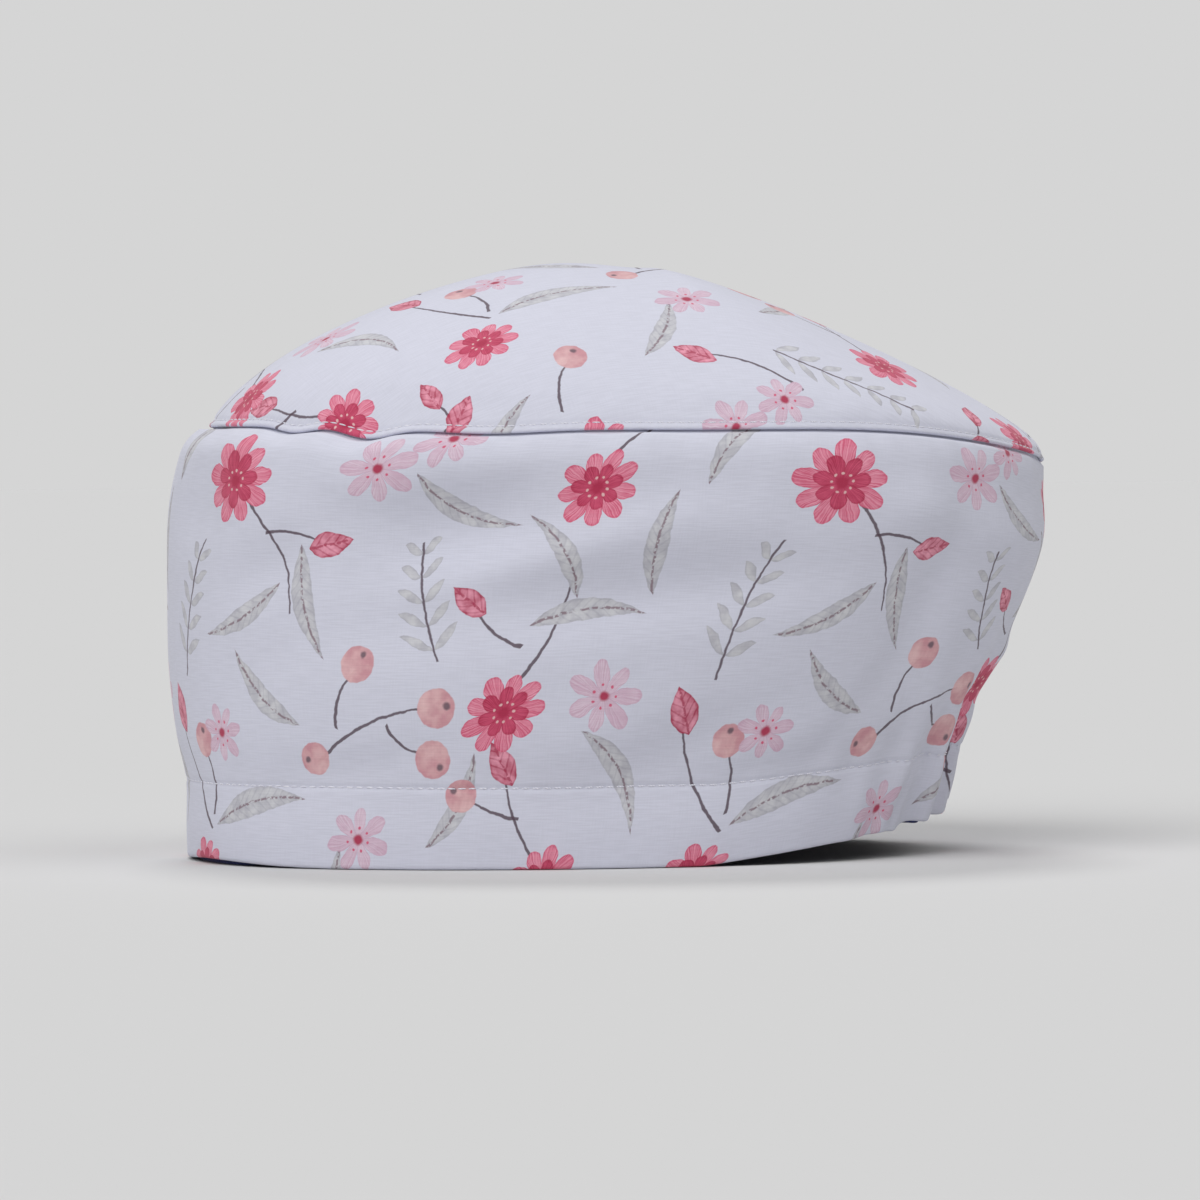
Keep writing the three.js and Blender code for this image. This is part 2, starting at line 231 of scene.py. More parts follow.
class OvalSurface:
    """The smooth oval surface of the side band or the crown, before its folds."""

    def __init__(self, sections: Sequence[Section], seam_at: float) -> None:
        """Fits a profile to each size of the sections.

        Args:
            sections: the oval sections, in order along the cloth.
            seam_at: the run at which this surface meets the crown seam.
        """
        runs = [row.run for row in sections]
        names = ("centre", "long", "wide", "side", "front", "back", "spread")
        self.sizes = {name: Profile(runs, [getattr(row, name) for row in sections]) for name in names}
        self.seam_at = seam_at

    def point(self, degrees: np.ndarray, run: np.ndarray) -> np.ndarray:
        """The points of the surface.

        Args:
            degrees: angles about +Z, from the back of the cap.
            run: distances along the cloth, which broadcast with the angles.

        Returns:
            Points in millimetres, with X, Y and Z on the last axis.
        """
        size = {name: profile.at(run) for name, profile in self.sizes.items()}
        cosine = np.cos(np.radians(degrees))
        sine = np.sin(np.radians(degrees))
        long = np.maximum(size["long"], LEAST_HALF_SIZE)
        wide = np.maximum(size["wide"], LEAST_HALF_SIZE) * (1 + BACK_FULLNESS * cosine)
        across = (np.abs(cosine) / long) ** OVAL_POWER + (np.abs(sine) / wide) ** OVAL_POWER
        radius = across ** (-1 / OVAL_POWER)
        to_front = np.maximum(-cosine, 0) ** 2
        to_back = np.maximum((cosine - BACK_START) / (1 - BACK_START), 0) ** size["spread"]
        height = size["side"] + (size["front"] - size["side"]) * to_front
        height = height + (size["back"] - size["side"]) * to_back
        height = height - bumps_at(SEAM_SAGS, degrees) * bell(run - self.seam_at, SAG_REACH)
        x = size["centre"] + radius * cosine + CENTRE_SHIFT
        return np.stack(np.broadcast_arrays(x, radius * sine, height), axis=-1)

    def facing(self, degrees: np.ndarray, run: np.ndarray) -> np.ndarray:
        """The directions in which the surface faces, away from the head."""
        turn = self.point(degrees + SLOPE_STEP, run) - self.point(degrees - SLOPE_STEP, run)
        climb = self.point(degrees, run + SLOPE_STEP) - self.point(degrees, run - SLOPE_STEP)
        normal = np.cross(turn, climb)
        length = np.linalg.norm(normal, axis=-1, keepdims=True)
        return np.where(length > LEAST_LENGTH, normal / np.maximum(length, LEAST_LENGTH), (0.0, 0.0, 1.0))


def noise_at(points: np.ndarray, plan_size: float, height_size: float, seed: float) -> np.ndarray:
    """Smooth noise from -1 to 1 at points in millimetres.

    Args:
        points: where the noise is read, with X, Y and Z on the last axis.
        plan_size: how wide its waves are seen from above.
        height_size: how tall they are.
        seed: shifts the noise, so that two uses differ.

    Returns:
        One value for each point.
    """
    scale = np.array([1 / plan_size, 1 / plan_size, 1 / height_size])
    flat = points.reshape(-1, 3) * scale + seed
    values = np.array([noise.noise(row) for row in flat.tolist()])
    return values.reshape(points.shape[:-1])


@dataclass(frozen=True)
class Relief:
    """One kind of fine relief on the cloth, in millimetres.

    Attributes:
        size: how far it stands out.
        plan: how wide its waves are seen from above.
        height: how tall they are.
        seed: sets where they lie.
        run: where along the cloth it is strongest.
        reach: how far from there it is felt.
    """

    size: float
    plan: float
    height: float
    seed: float
    run: float = 0.0
    reach: float = math.inf

    def at(self, points: np.ndarray, run: np.ndarray) -> np.ndarray:
        """How far it stands out at points that lie at the given runs."""
        near = bell(run - self.run, self.reach)
        return self.size * near * noise_at(points, self.plan, self.height, self.seed)


class CapForm:
    """The shape of the whole cap, which the pieces of cloth are cut from."""

    wall_reliefs = (
        Relief(0.7, 46, 60, 3.1),                        # the cloth's broad waves
        Relief(0.22, 15, 15, 8.4),                       # crumples
        Relief(0.42, 7, 26, 5.7, SEAM_RUN - 6, 8),       # puckers that the seam draws up
        Relief(0.42, 8, 24, 11.9, HEM_STITCH_RUN, 8),    # puckers that the hem's stitching draws up
        Relief(0.7, 15, 60, 17.6, SEAM_RUN - 10, 10),    # soft upright ripples under the seam
    )
    crown_waves = Relief(0.7, 44, 60, 21.3)
    crown_puckers = Relief(0.42, 7, 30, 15.2, 5, 7)
    crown_middle = 12.0       # how far from its middle the crown is smooth
    crown_fade = 4.0          # the run over which its relief fades out towards its edge
    groove_depth = 0.35       # how far a line of stitching sinks into the cloth
    hem_groove = 0.8          # half the width of the hem's groove
    crown_groove = 0.7
    hem_draw = 1.4            # how far the hem's stitching draws the cloth round it in
    hem_draw_reach = 9.0

    def __init__(self) -> None:
        """Fits the two surfaces to their sections."""
        self.wall = OvalSurface(WALL_SECTIONS, SEAM_RUN)
        self.crown = OvalSurface(CROWN_SECTIONS, 0.0)

    def pleats(self, degrees: np.ndarray, run: np.ndarray) -> np.ndarray:
        """How far the elastic's gathers stand out."""
        around = 1 - smooth(PLEAT_FULL_ANGLE, PLEAT_END_ANGLE, np.abs(turn_between(0, degrees)))
        up = 1 - smooth(PLEAT_FULL_RUN, PLEAT_END_RUN, run)
        return PLEAT_DEPTH * around * up * (np.cos(np.radians(degrees * PLEATS_PER_TURN)) - PLEAT_INSET)

    def folds(self, degrees: np.ndarray, run: np.ndarray) -> np.ndarray:
        """How far the side band's folds stand out, or sink in where they are negative."""
        relief = np.zeros(np.broadcast(degrees, run).shape)
        for fold in FOLDS + FINE_FOLDS:
            middle = self.wall.point(np.array(fold.angle), np.array(fold.run))
            reach = math.hypot(middle[0] - CENTRE_SHIFT, middle[1])
            along = np.radians(turn_between(fold.angle, degrees)) * reach
            up = run - fold.run
            slope = math.radians(fold.slope)
            lengthwise = along * math.cos(slope) + up * math.sin(slope)
            crosswise = up * math.cos(slope) - along * math.sin(slope)
            relief += fold.depth * bell(lengthwise, fold.length) * bell(crosswise, fold.width)
        return relief

    def wall_finish(self, points: np.ndarray, run: np.ndarray) -> np.ndarray:
        """The side band's fine relief, less what the hem's line of stitching draws in."""
        relief = sum(kind.at(points, run) for kind in self.wall_reliefs)
        groove = self.groove_depth * bell(run - HEM_STITCH_RUN, self.hem_groove)
        drawn_in = self.hem_draw * bell(run - HEM_STITCH_RUN, self.hem_draw_reach)
        return relief - groove - drawn_in

    def wall_layer(self, degrees: np.ndarray, run: np.ndarray, depth: np.ndarray) -> np.ndarray:
        """Points of the side band. From the seam on it lies under the crown.

        Args:
            degrees: the columns' angles.
            run: distances along the cloth, from the bottom edge.
            depth: distances inwards from the outer face.

        Returns:
            Points in millimetres.
        """
        outer = self.wall.point(degrees, np.minimum(run, SEAM_RUN))
        tucked = smooth(TUCK_START, SEAM_RUN - CROWN_LIP, run)
        relief = self.pleats(degrees, run) + SEAM_ROLL * bell(run - SEAM_ROLL_RUN, SEAM_ROLL_WIDTH)
        relief = relief + self.folds(degrees, run) + self.wall_finish(outer, run)
        out = relief * (1 - tucked) - (CLOTH + LAYER_GAP) * tucked - depth
        wall = outer + self.wall.facing(degrees, np.minimum(run, SEAM_RUN)) * out[..., None]
        under = self.crown_surface(degrees, np.maximum(run - SEAM_RUN, 0), CLOTH + LAYER_GAP + depth)
        return np.where((run >= SEAM_RUN)[..., None], under, wall)

    def crown_surface(self, degrees: np.ndarray, run: np.ndarray, depth: np.ndarray) -> np.ndarray:
        """Points under the crown's smooth surface, inwards by a depth."""
        facing = self.crown.facing(degrees, run)
        inwards = np.broadcast_to(depth, facing.shape[:-1])[..., None]
        return self.crown.point(degrees, run) - facing * inwards

    def crown_finish(self, points: np.ndarray, run: np.ndarray) -> np.ndarray:
        """The crown's fine relief, less the groove of its topstitching."""
        waves = (1 - bell(run - CROWN_RUN, self.crown_middle)) * self.crown_waves.at(points, run)
        relief = waves + self.crown_puckers.at(points, run)
        groove = self.groove_depth * bell(run - TOPSTITCH_RUN, self.crown_groove)
        return relief * smooth(-CROWN_LIP, self.crown_fade, run) - groove

    def crown_layer(self, degrees: np.ndarray, run: np.ndarray, depth: np.ndarray) -> np.ndarray:
        """Points of the crown, inwards by a depth. Past its edge it lies on the side band."""
        at = np.maximum(run, 0)
        outer = self.crown.point(degrees, at)
        relief = self.crown_finish(outer, run)
        crown = outer + self.crown.facing(degrees, at) * (relief - depth)[..., None]
        low = np.minimum(SEAM_RUN + run, SEAM_RUN)
        lip = self.wall.point(degrees, low) + self.wall.facing(degrees, low) * (relief - depth)[..., None]
        return np.where((run < 0)[..., None], lip, crown)


# Mesh and node helpers.
def colour(hex_value: int) -> tuple[float, float, float, float]:
    """Turns an sRGB hex colour to linear RGBA."""
    parts = [(hex_value >> shift & 255) / 255 for shift in (16, 8, 0)]
    linear = [p / 12.92 if p <= 0.04045 else ((p + 0.055) / 1.055) ** 2.4 for p in parts]
    return (*linear, 1.0)


def add(tree: NodeTree, kind: str, settings: dict[str, Any] | None = None,
        inputs: dict[str | int, Any] | None = None) -> Node:
    """Adds a node with its settings and links.

    Args:
        tree: the tree that the node goes in.
        kind: the node's type.
        settings: its properties by name.
        inputs: for each input, by name or number, a value, a socket, or a node whose first output it takes.

    Returns:
        The new node.
    """
    node = tree.nodes.new(kind)
    for name, value in (settings or {}).items():
        setattr(node, name, value)
    for key, value in (inputs or {}).items():
        if isinstance(value, Node):
            value = next(socket for socket in value.outputs if socket.enabled)
        if isinstance(value, NodeSocket):
            tree.links.new(value, node.inputs[key])
        else:
            node.inputs[key].default_value = value
    return node


def new_tree(name: str, kind: str, inputs: dict[str, str], outputs: dict[str, str]) -> NodeTree:
    """Makes an empty node group with named sockets.

    Args:
        name: the group's name.
        kind: ShaderNodeTree or GeometryNodeTree.
        inputs: socket type by name, without the words NodeSocket.
        outputs: likewise.

    Returns:
        The new group.
    """
    tree = bpy.data.node_groups.new(name, kind)
    for side, sockets in (("INPUT", inputs), ("OUTPUT", outputs)):
        for socket, socket_type in sockets.items():
            tree.interface.new_socket(socket, in_out=side, socket_type="NodeSocket" + socket_type)
    return tree


def emptied_tree(owner: Material | World) -> NodeTree:
    """Clears the nodes of a new material or world and gives its tree."""
    owner.use_nodes = True
    owner.node_tree.nodes.clear()
    return owner.node_tree


def new_object(name: str, data: ID) -> Object:
    """Makes an object and links it to the scene."""
    made = bpy.data.objects.new(name, data)
    bpy.context.scene.collection.objects.link(made)
    return made


@dataclass
class ClothGrid:
    """A closed piece of cloth as rings of points round the cap, with its print's coordinates."""

    name: str
    points: np.ndarray            # rings, columns, XYZ in millimetres
    cloth: np.ndarray             # rings, columns + 1, coordinates on the flat cloth in millimetres
    reverse: np.ndarray           # for each ring, 1 on the cloth's reverse side
    poles: np.ndarray | None = None       # the first and last pole, in millimetres
    pole_cloth: Sequence[float] = (0.0, 0.0)

    def build(self) -> Object:
        """Makes the mesh object, with the cloth's coordinates as a UV map."""
        rings, columns = self.points.shape[:2]
        column = np.arange(columns)
        following = (column + 1) % columns
        faces: list[np.ndarray] = []
        corners: list[np.ndarray] = []
        last = rings - 1 if self.poles is not None else rings
        for low in range(last):
            high = (low + 1) % rings
            faces.append(np.stack([low * columns + column, low * columns + following,
                                   high * columns + following, high * columns + column], axis=1))
            corners.append(np.stack([self.cloth[low, :-1], self.cloth[low, 1:],
                                     self.cloth[high, 1:], self.cloth[high, :-1]], axis=1))
        polygons = [tuple(face) for face in np.concatenate(faces).tolist()]
        flat = [np.concatenate(corners).reshape(-1, 2)]
        vertices = self.points.reshape(-1, 3)
        reverse = np.repeat(self.reverse, columns)
        if self.poles is not None:
            first, end = rings * columns, last * columns
            vertices = np.concatenate([vertices, self.poles])
            reverse = np.append(reverse, [self.reverse[0], self.reverse[-1]])
            pole = np.broadcast_to(np.array(self.pole_cloth), (columns, 2))
            polygons += [(first, int(b), int(a)) for a, b in zip(column, following)]
            polygons += [(first + 1, int(end + a), int(end + b)) for a, b in zip(column, following)]
            flat.append(np.stack([pole, self.cloth[0, 1:], self.cloth[0, :-1]], axis=1).reshape(-1, 2))
            flat.append(np.stack([pole, self.cloth[-1, :-1], self.cloth[-1, 1:]], axis=1).reshape(-1, 2))
        mesh = bpy.data.meshes.new(self.name)
        mesh.from_pydata((vertices * MM).tolist(), [], polygons)
        layer = mesh.uv_layers.new(name="Cloth")
        layer.uv.foreach_set("vector", np.concatenate(flat).astype(np.float32).ravel())
        attribute = mesh.attributes.new("reverse", "FLOAT", "POINT")
        attribute.data.foreach_set("value", reverse.astype(np.float32))
        mesh.shade_smooth()
        return new_object(self.name, mesh)


def column_angles() -> np.ndarray:
    """The angles of the mesh's columns, in degrees from the back."""
    return np.arange(COLUMNS) * 360.0 / COLUMNS - 180.0


def over_columns(values: np.ndarray) -> np.ndarray:
    """Repeats a value for each ring over all the columns."""
    return np.repeat(values[:, None], COLUMNS, axis=1)


def ring_runs(*stretches: tuple[float, float, int]) -> np.ndarray:
    """The runs of the mesh's rings, from stretches with their start, their end and a count of rings."""
    return np.concatenate([np.linspace(*stretch) for stretch in stretches])


def rounded_edge(thickness: float, steps: int) -> tuple[np.ndarray, np.ndarray]:
    """The half circle round a cloth edge, as runs and depths, from the inner face to the outer one."""
    turns = np.pi * np.arange(steps, -1, -1) / steps
    return thickness / 2 * (1 - np.sin(turns)), thickness / 2 * (1 - np.cos(turns))


def seat(piece: Object, material: Material, node: str) -> None:
    """Gives a piece its cloth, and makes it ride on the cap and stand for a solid."""
    piece.data.materials.append(material)
    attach(piece, CAP_BODY)
    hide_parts(node)
    log.info("%s: %d faces", piece.name, len(piece.data.polygons))


# The print: motifs that are painted one over another on a repeat of the cloth, in millimetres.
REPEAT = (158.0, 150.0)
PATCHES = (4, 4)
HAIR = 0.001                  # keeps apart the copies of a motif that reaches into several patches
INK_EDGE = 0.3                # how soft the edge of an ink is
WAVE_SCALE = 0.314            # the wave texture's scale for bands 2 units apart along an axis

# The nodes' types and settings. A soft step's inputs are the value, its low and high, and what they give.
MATH = "ShaderNodeMath"
VECTOR_MATH = "ShaderNodeVectorMath"
RANGE = "ShaderNodeMapRange"
MIX = "ShaderNodeMix"
NOISE = "ShaderNodeTexNoise"
WAVE = "ShaderNodeTexWave"
COMBINE = "ShaderNodeCombineXYZ"
BUMP = "ShaderNodeBump"
SHADER = "ShaderNodeBsdfPrincipled"
SURFACE = "ShaderNodeOutputMaterial"
TIMES = {"operation": "MULTIPLY"}
OVER = {"operation": "DIVIDE"}
PLUS = {"operation": "ADD"}
LESS = {"operation": "SUBTRACT"}
TIMES_PLUS = {"operation": "MULTIPLY_ADD"}
SIZE_OF = {"operation": "ABSOLUTE"}
MORE_OF = {"operation": "MAXIMUM"}
NEAREST = {"operation": "ROUND"}
WRAPPED = {"operation": "WRAP"}
LENGTH = {"operation": "LENGTH"}
SOFT_STEP = {"interpolation_type": "SMOOTHSTEP", "clamp": False}
INKED = {"data_type": "RGBA"}
FLAT_NOISE = {"noise_dimensions": "2D"}
LINE_NOISE = {"noise_dimensions": "1D"}
SLANTED = {"bands_direction": "DIAGONAL"}
UNDER = 6                     # the Mix node's two colour inputs
INK = 7

Corners = tuple[float, float, float, float]


class MotifKind(Enum):
    """What a motif of the print is."""

    STEM = "stem"
    LEAF = "leaf"
    BUD = "bud"
    SPRAY = "spray"
    BERRY = "berry"
    STAR = "star"
    ROSETTE = "rosette"


K = MotifKind
ROUND_KINDS = (K.BERRY, K.STAR, K.ROSETTE)


@dataclass(frozen=True)
class Motif:
    """One motif of the print.

    Attributes:
        kind: what it is.
        x: its place across the repeat, in millimetres.
        y: its place up the repeat.
        turn: its angle in degrees.
        size: its half length or radius in millimetres.
        bend: how far its middle bows to the side, in millimetres, or its tilt for a blossom.
    """

    kind: MotifKind
    x: float
    y: float
    turn: float
    size: float
    bend: float = 1.0

    def breadth(self) -> float:
        """How far its ink goes to the side of its middle line, or round a point if it is round."""
        if self.kind in (K.STEM, K.LEAF):
            return 0.3 * self.size + abs(self.bend)
        if self.kind is K.SPRAY:
            return 9.0
        return 0.65 * self.size if self.kind is K.BUD else 1.05 * self.size

    def reaches(self, patch: Corners) -> bool:
        """True if its ink may fall in a patch of the repeat, given as low x, low y, high x and high y."""
        turn = math.radians(self.turn)
        middle = ((patch[0] + patch[2]) / 2, (patch[1] + patch[3]) / 2)
        for along in ((0.0,) if self.kind in ROUND_KINDS else np.linspace(-self.size, self.size, 9)):
            place = (self.x + along * math.cos(turn), self.y + along * math.sin(turn))
            gaps = []
            for axis in range(2):
                away = abs(math.remainder(place[axis] - middle[axis], REPEAT[axis]))
                gaps.append(max(away - (patch[axis + 2] - patch[axis]) / 2, 0.0))
            if math.hypot(*gaps) < self.breadth():
                return True
        return False


# Each row gives a motif's place, turn, size and bend. They are painted in this order.
MOTIFS = tuple(Motif(kind, *row) for kind, rows in (
    (K.STEM, (
        (44, 82, -62, 20, 4), (54, 84, -12, 9, 2), (120, 60, 66, 19, -4), (110, 62, 142, 9, 2),
        (78, 34, 24, 18, 3), (71, 43, 70, 8, 2), (88, 33, -34, 7, -2), (12, 24, 118, 17, 3),
        (19, 22, 100, 9, -2), (84, 124, 152, 15, -3), (145, 117, 40, 15, 3), (152, 128, 96, 8, -2),
        (30, 124, 64, 9, 2), (122, 12, 118, 16, 3), (112, 16, 160, 8, 1))),
    (K.LEAF, (
        (36, 66, 208, 15, 3), (60, 68, -74, 16, -3), (133, 63, 6, 15, 3), (122, 80, 122, 14, -3),
        (10, 112, 52, 16, 4.5), (100, 96, -28, 16, -4.5), (40, 14, 12, 18, 3), (143, 22, -58, 16, 4.5),
        (62, 144, 64, 15, -3), (150, 84, 84, 15, 3), (46, 46, 140, 15, 3), (100, 18, 62, 14, -3))),
    (K.SPRAY, ((16, 66, 74, 19, 2), (112, 128, -18, 20, -2), (92, 68, 104, 16, 2))),
    (K.BUD, (
        (64, 83, 12, 6.5, 0), (102, 68, 142, 6, 0), (4, 40, 112, 7, 0), (70, 131, 150, 6.5, 0),
        (157, 127, 42, 6.5, 0), (152, 137, 96, 5.5, 0), (114, 27, 118, 6.5, 0))),
    (K.BERRY, (
        (96, 41, 24, 5.2), (74, 52, 70, 4.8), (95, 28, -34, 5), (61, 28, 200, 4.4), (18, 32, 96, 4.6),
        (35, 134, 62, 4.8), (103, 19, 160, 4.4))),
    (K.STAR, (
        (76, 104, 20, 10.5), (91, 113, 50, 9), (140, 44, 0, 10.5), (74, 8, 35, 9.5), (28, 34, 10, 8.5))),
    (K.ROSETTE, (
        (34, 100, 10, 14, 0.9), (114, 40, 40, 13, 0.75), (131, 99, 70, 12, 0.85),
        (14, 148, 25, 12.5, 0.7), (128, 146, 80, 12.5, 0.85))),
) for row in rows)


@dataclass(frozen=True)
class Inks:
    """The print's colours."""

    crimson: int = 0xD55677
    deep_crimson: int = 0xB13151
    rose: int = 0xF1A1B6
    blush: int = 0xE2CEDC
    deep_blush: int = 0xD1ADC2
    grey_leaf: int = 0xD2D2D6
    deep_leaf: int = 0xB4B3BC
    leaf_rib: int = 0x816771
    stem: int = 0x5B4A55
    peach: int = 0xE8C0C0
    deep_peach: int = 0xCF949C


@dataclass(frozen=True)
class Drawing:
    """What each motif's group starts from.

    Attributes:
        tree: the group.
        start: its input node.
        x: the distance along the motif from its middle.
        y: the distance across it.
    """

    tree: NodeTree
    start: Node
    x: NodeSocket
    y: NodeSocket

    def taken(self, name: str) -> NodeSocket:
        """One of the group's inputs."""
        return self.start.outputs[name]


class PrintGroups:
    """The node groups that paint the motifs. Each takes the colour below it and paints over it."""

    def __init__(self, inks: Inks) -> None:
        """Makes the groups with the given inks."""
        self.inks = inks
        self.ring = self.petal_ring()
        self.trees = {
            K.STEM: self.stem(),
            K.LEAF: self.leaf("leaf", inks.grey_leaf, inks.deep_leaf, inks.leaf_rib, 0.2),
            K.BUD: self.leaf("bud", inks.rose, inks.deep_crimson, inks.deep_crimson, 0.56),
            K.SPRAY: self.spray(),
            K.BERRY: self.berry(),
            K.STAR: self.star(),
            K.ROSETTE: self.rosette(),
        }

    def drawing(self, name: str) -> Drawing:
        """Starts a motif's group with the place on the motif, turned upright."""
        tree = new_tree("print_" + name, "ShaderNodeTree", {
            "Below": "Color", "Spot": "Vector", "Wash": "Float", "Grain": "Float", "Centre": "Vector",
            "Along": "Vector", "Across": "Vector", "Size": "Float", "Bend": "Float"}, {"Colour": "Color"})
        start = add(tree, "NodeGroupInput")
        half = Vector((*REPEAT, 2.0)) / 2
        offset = add(tree, VECTOR_MATH, LESS, {0: start.outputs["Spot"], 1: start.outputs["Centre"]})
        near = add(tree, VECTOR_MATH, WRAPPED, {0: offset, 1: half, 2: -half})
        dot = {"operation": "DOT_PRODUCT"}
        x = add(tree, VECTOR_MATH, dot, {0: near, 1: start.outputs["Along"]})
        y = add(tree, VECTOR_MATH, dot, {0: near, 1: start.outputs["Across"]})
        return Drawing(tree, start, x.outputs["Value"], y.outputs["Value"])

    def finish(self, drawing: Drawing, painted: Node) -> NodeTree:
        """Passes the painted colour out of a motif's group."""
        add(drawing.tree, "NodeGroupOutput", None, {0: painted})
        return drawing.tree

    def washed(self, drawing: Drawing, marks: Node, share: float, light: int, dark: int) -> Node:
        """A motif's own colour, washed from its light ink to its dark one.

        Args:
            drawing: the motif's group.
            marks: how dark its rim, veins or shade are.
            share: how much the wash adds to them.
            light: the ink where the wash is thin.
            dark: the ink where it gathers.

        Returns:
            The node with the colour.
        """
        tree = drawing.tree
        wash = add(tree, RANGE, SOFT_STEP, {0: drawing.taken("Wash"), 1: 0.25, 2: 0.75, 4: share})
        tone = add(tree, MATH, PLUS, {0: marks, 1: wash})
        return add(tree, MIX, INKED, {0: tone, UNDER: colour(light), INK: colour(dark)})

    def dotted(self, tree: NodeTree, below: Any, away: Any, edge: tuple[float, float],
               strength: float, ink: int) -> Node:
        """Paints a round dot.

        Args:
            tree: the tree that it goes in.
            below: the colour that it is painted on.
            away: the distance from its middle.
            edge: where its ink starts to fade and where it ends.
            strength: how well its ink covers.
            ink: its colour.

        Returns:
            The node with the painted colour.
        """
        cover = add(tree, RANGE, SOFT_STEP, {0: away, 1: edge[0], 2: edge[1], 3: strength, 4: 0.0})
        return add(tree, MIX, INKED, {0: cover, UNDER: below, INK: colour(ink)})

    def arched(self, drawing: Drawing) -> tuple[Node, Node, Node]:
        """The share of the way along a bowed motif, an arch over it, and how far off its middle line."""
        tree = drawing.tree
        share = add(tree, MATH, OVER, {0: drawing.x, 1: drawing.taken("Size")})
        squared = add(tree, MATH, TIMES, {0: share, 1: share})
        fall = add(tree, MATH, LESS, {0: 1.0, 1: squared})
        arch = add(tree, MATH, MORE_OF, {0: fall, 1: 0.0})
        bow = add(tree, MATH, TIMES, {0: arch, 1: drawing.taken("Bend")})
        off = add(tree, MATH, LESS, {0: drawing.y, 1: bow})
        return share, arch, add(tree, MATH, SIZE_OF, {0: off})

    def stem(self) -> NodeTree:
        """A thin bowed stem, thinner towards its tip."""
        drawing = self.drawing("stem")
        tree = drawing.tree
        share, arch, side = self.arched(drawing)
        half_width = add(tree, MATH, TIMES_PLUS, {0: share, 1: -0.12, 2: 0.52})
        inset = add(tree, MATH, LESS, {0: half_width, 1: side})
        line = add(tree, RANGE, SOFT_STEP, {0: inset, 1: 0.0, 2: INK_EDGE})
        ends = add(tree, RANGE, SOFT_STEP, {0: arch, 1: 0.0, 2: 0.04, 4: 0.9})
        cover = add(tree, MATH, TIMES, {0: line, 1: ends})
        done = add(tree, MIX, INKED, {0: cover, UNDER: drawing.taken("Below"), INK: colour(self.inks.stem)})
        return self.finish(drawing, done)

    def leaf(self, name: str, light: int, dark: int, rib: int, slim: float) -> NodeTree:
        """A pointed leaf with a midrib and side veins, washed in lighter and darker.

        Args:
            name: the motif's name.
            light: the ink where the wash is thin.
            dark: the ink where it gathers.
            rib: the midrib's ink.
            slim: the leaf's half width as a share of its half length.

        Returns:
            The leaf's group.
        """
        drawing = self.drawing(name)
        tree = drawing.tree
        share, arch, side = self.arched(drawing)
        broad = add(tree, MATH, TIMES_PLUS, {0: share, 1: -0.3 * slim, 2: slim})
        form = add(tree, MATH, TIMES, {0: arch, 1: broad})
        half_width = add(tree, MATH, TIMES, {0: form, 1: drawing.taken("Size")})
        inset = add(tree, MATH, LESS, {0: half_width, 1: side})
        rim = add(tree, RANGE, SOFT_STEP, {0: inset, 1: 0.0, 2: 1.1, 3: 0.45, 4: 0.0})
        lean = add(tree, MATH, TIMES_PLUS, {0: side, 1: -1.1, 2: drawing.x})
        turns = add(tree, MATH, TIMES, {0: lean, 1: 2.4})
        wave = add(tree, MATH, {"operation": "SINE"}, {0: turns})
        veins = add(tree, RANGE, SOFT_STEP, {0: wave, 1: 0.45, 2: 1.0, 4: 0.35})
        marked = add(tree, MATH, PLUS, {0: rim, 1: veins})
        body = self.washed(drawing, marked, 0.7, light, dark)
        line = add(tree, RANGE, SOFT_STEP, {0: side, 1: 0.15, 2: 0.5, 3: 0.85, 4: 0.0})
        broken = add(tree, RANGE, SOFT_STEP, {0: drawing.taken("Grain"), 1: 0.36, 2: 0.52})
        drawn = add(tree, MATH, TIMES, {0: line, 1: broken})
        ribbed = add(tree, MIX, INKED, {0: drawn, UNDER: body, INK: colour(rib)})
        cover = add(tree, RANGE, SOFT_STEP, {0: inset, 1: 0.0, 2: INK_EDGE, 4: 0.94})
        done = add(tree, MIX, INKED, {0: cover, UNDER: drawing.taken("Below"), INK: ribbed})
        return self.finish(drawing, done)

    def spray(self) -> NodeTree:
        """A straight sprig with small leaves in pairs, which get smaller towards its tip."""
        drawing = self.drawing("spray")
        tree = drawing.tree
        pitch, lean, leaf_length, leaf_width = 6.4, 0.75, 8.2, 1.75
        size = drawing.taken("Size")
        share, arch, side = self.arched(drawing)
        foot = add(tree, MATH, TIMES_PLUS, {0: side, 1: -lean, 2: drawing.x})
        count = add(tree, MATH, OVER, {0: foot, 1: pitch})
        number = add(tree, MATH, NEAREST, {0: count})
        middle = add(tree, MATH, TIMES, {0: number, 1: pitch})
        across = add(tree, MATH, LESS, {0: foot, 1: middle})
        width = add(tree, MATH, SIZE_OF, {0: across})
        reach = add(tree, MATH, OVER, {0: middle, 1: size})
        taper = add(tree, MATH, TIMES_PLUS, {0: reach, 1: -0.22 * leaf_length, 2: 0.78 * leaf_length})
        out = add(tree, MATH, OVER, {0: side, 1: taper})
        rest = add(tree, MATH, LESS, {0: 1.0, 1: out})
        form = add(tree, MATH, TIMES, {0: out, 1: rest})
        half_width = add(tree, MATH, TIMES, {0: form, 1: 4 * leaf_width})
        inset = add(tree, MATH, LESS, {0: half_width, 1: width})
        rim = add(tree, RANGE, SOFT_STEP, {0: inset, 1: 0.0, 2: 0.9, 3: 0.55, 4: 0.0})
        body = self.washed(drawing, rim, 0.8, self.inks.grey_leaf, self.inks.deep_leaf)
        leaf = add(tree, RANGE, SOFT_STEP, {0: inset, 1: 0.0, 2: INK_EDGE, 4: 0.94})
        far = add(tree, MATH, SIZE_OF, {0: reach})
        within = add(tree, MATH, {"operation": "LESS_THAN"}, {0: far, 1: 0.97})
        cover = add(tree, MATH, TIMES, {0: leaf, 1: within})
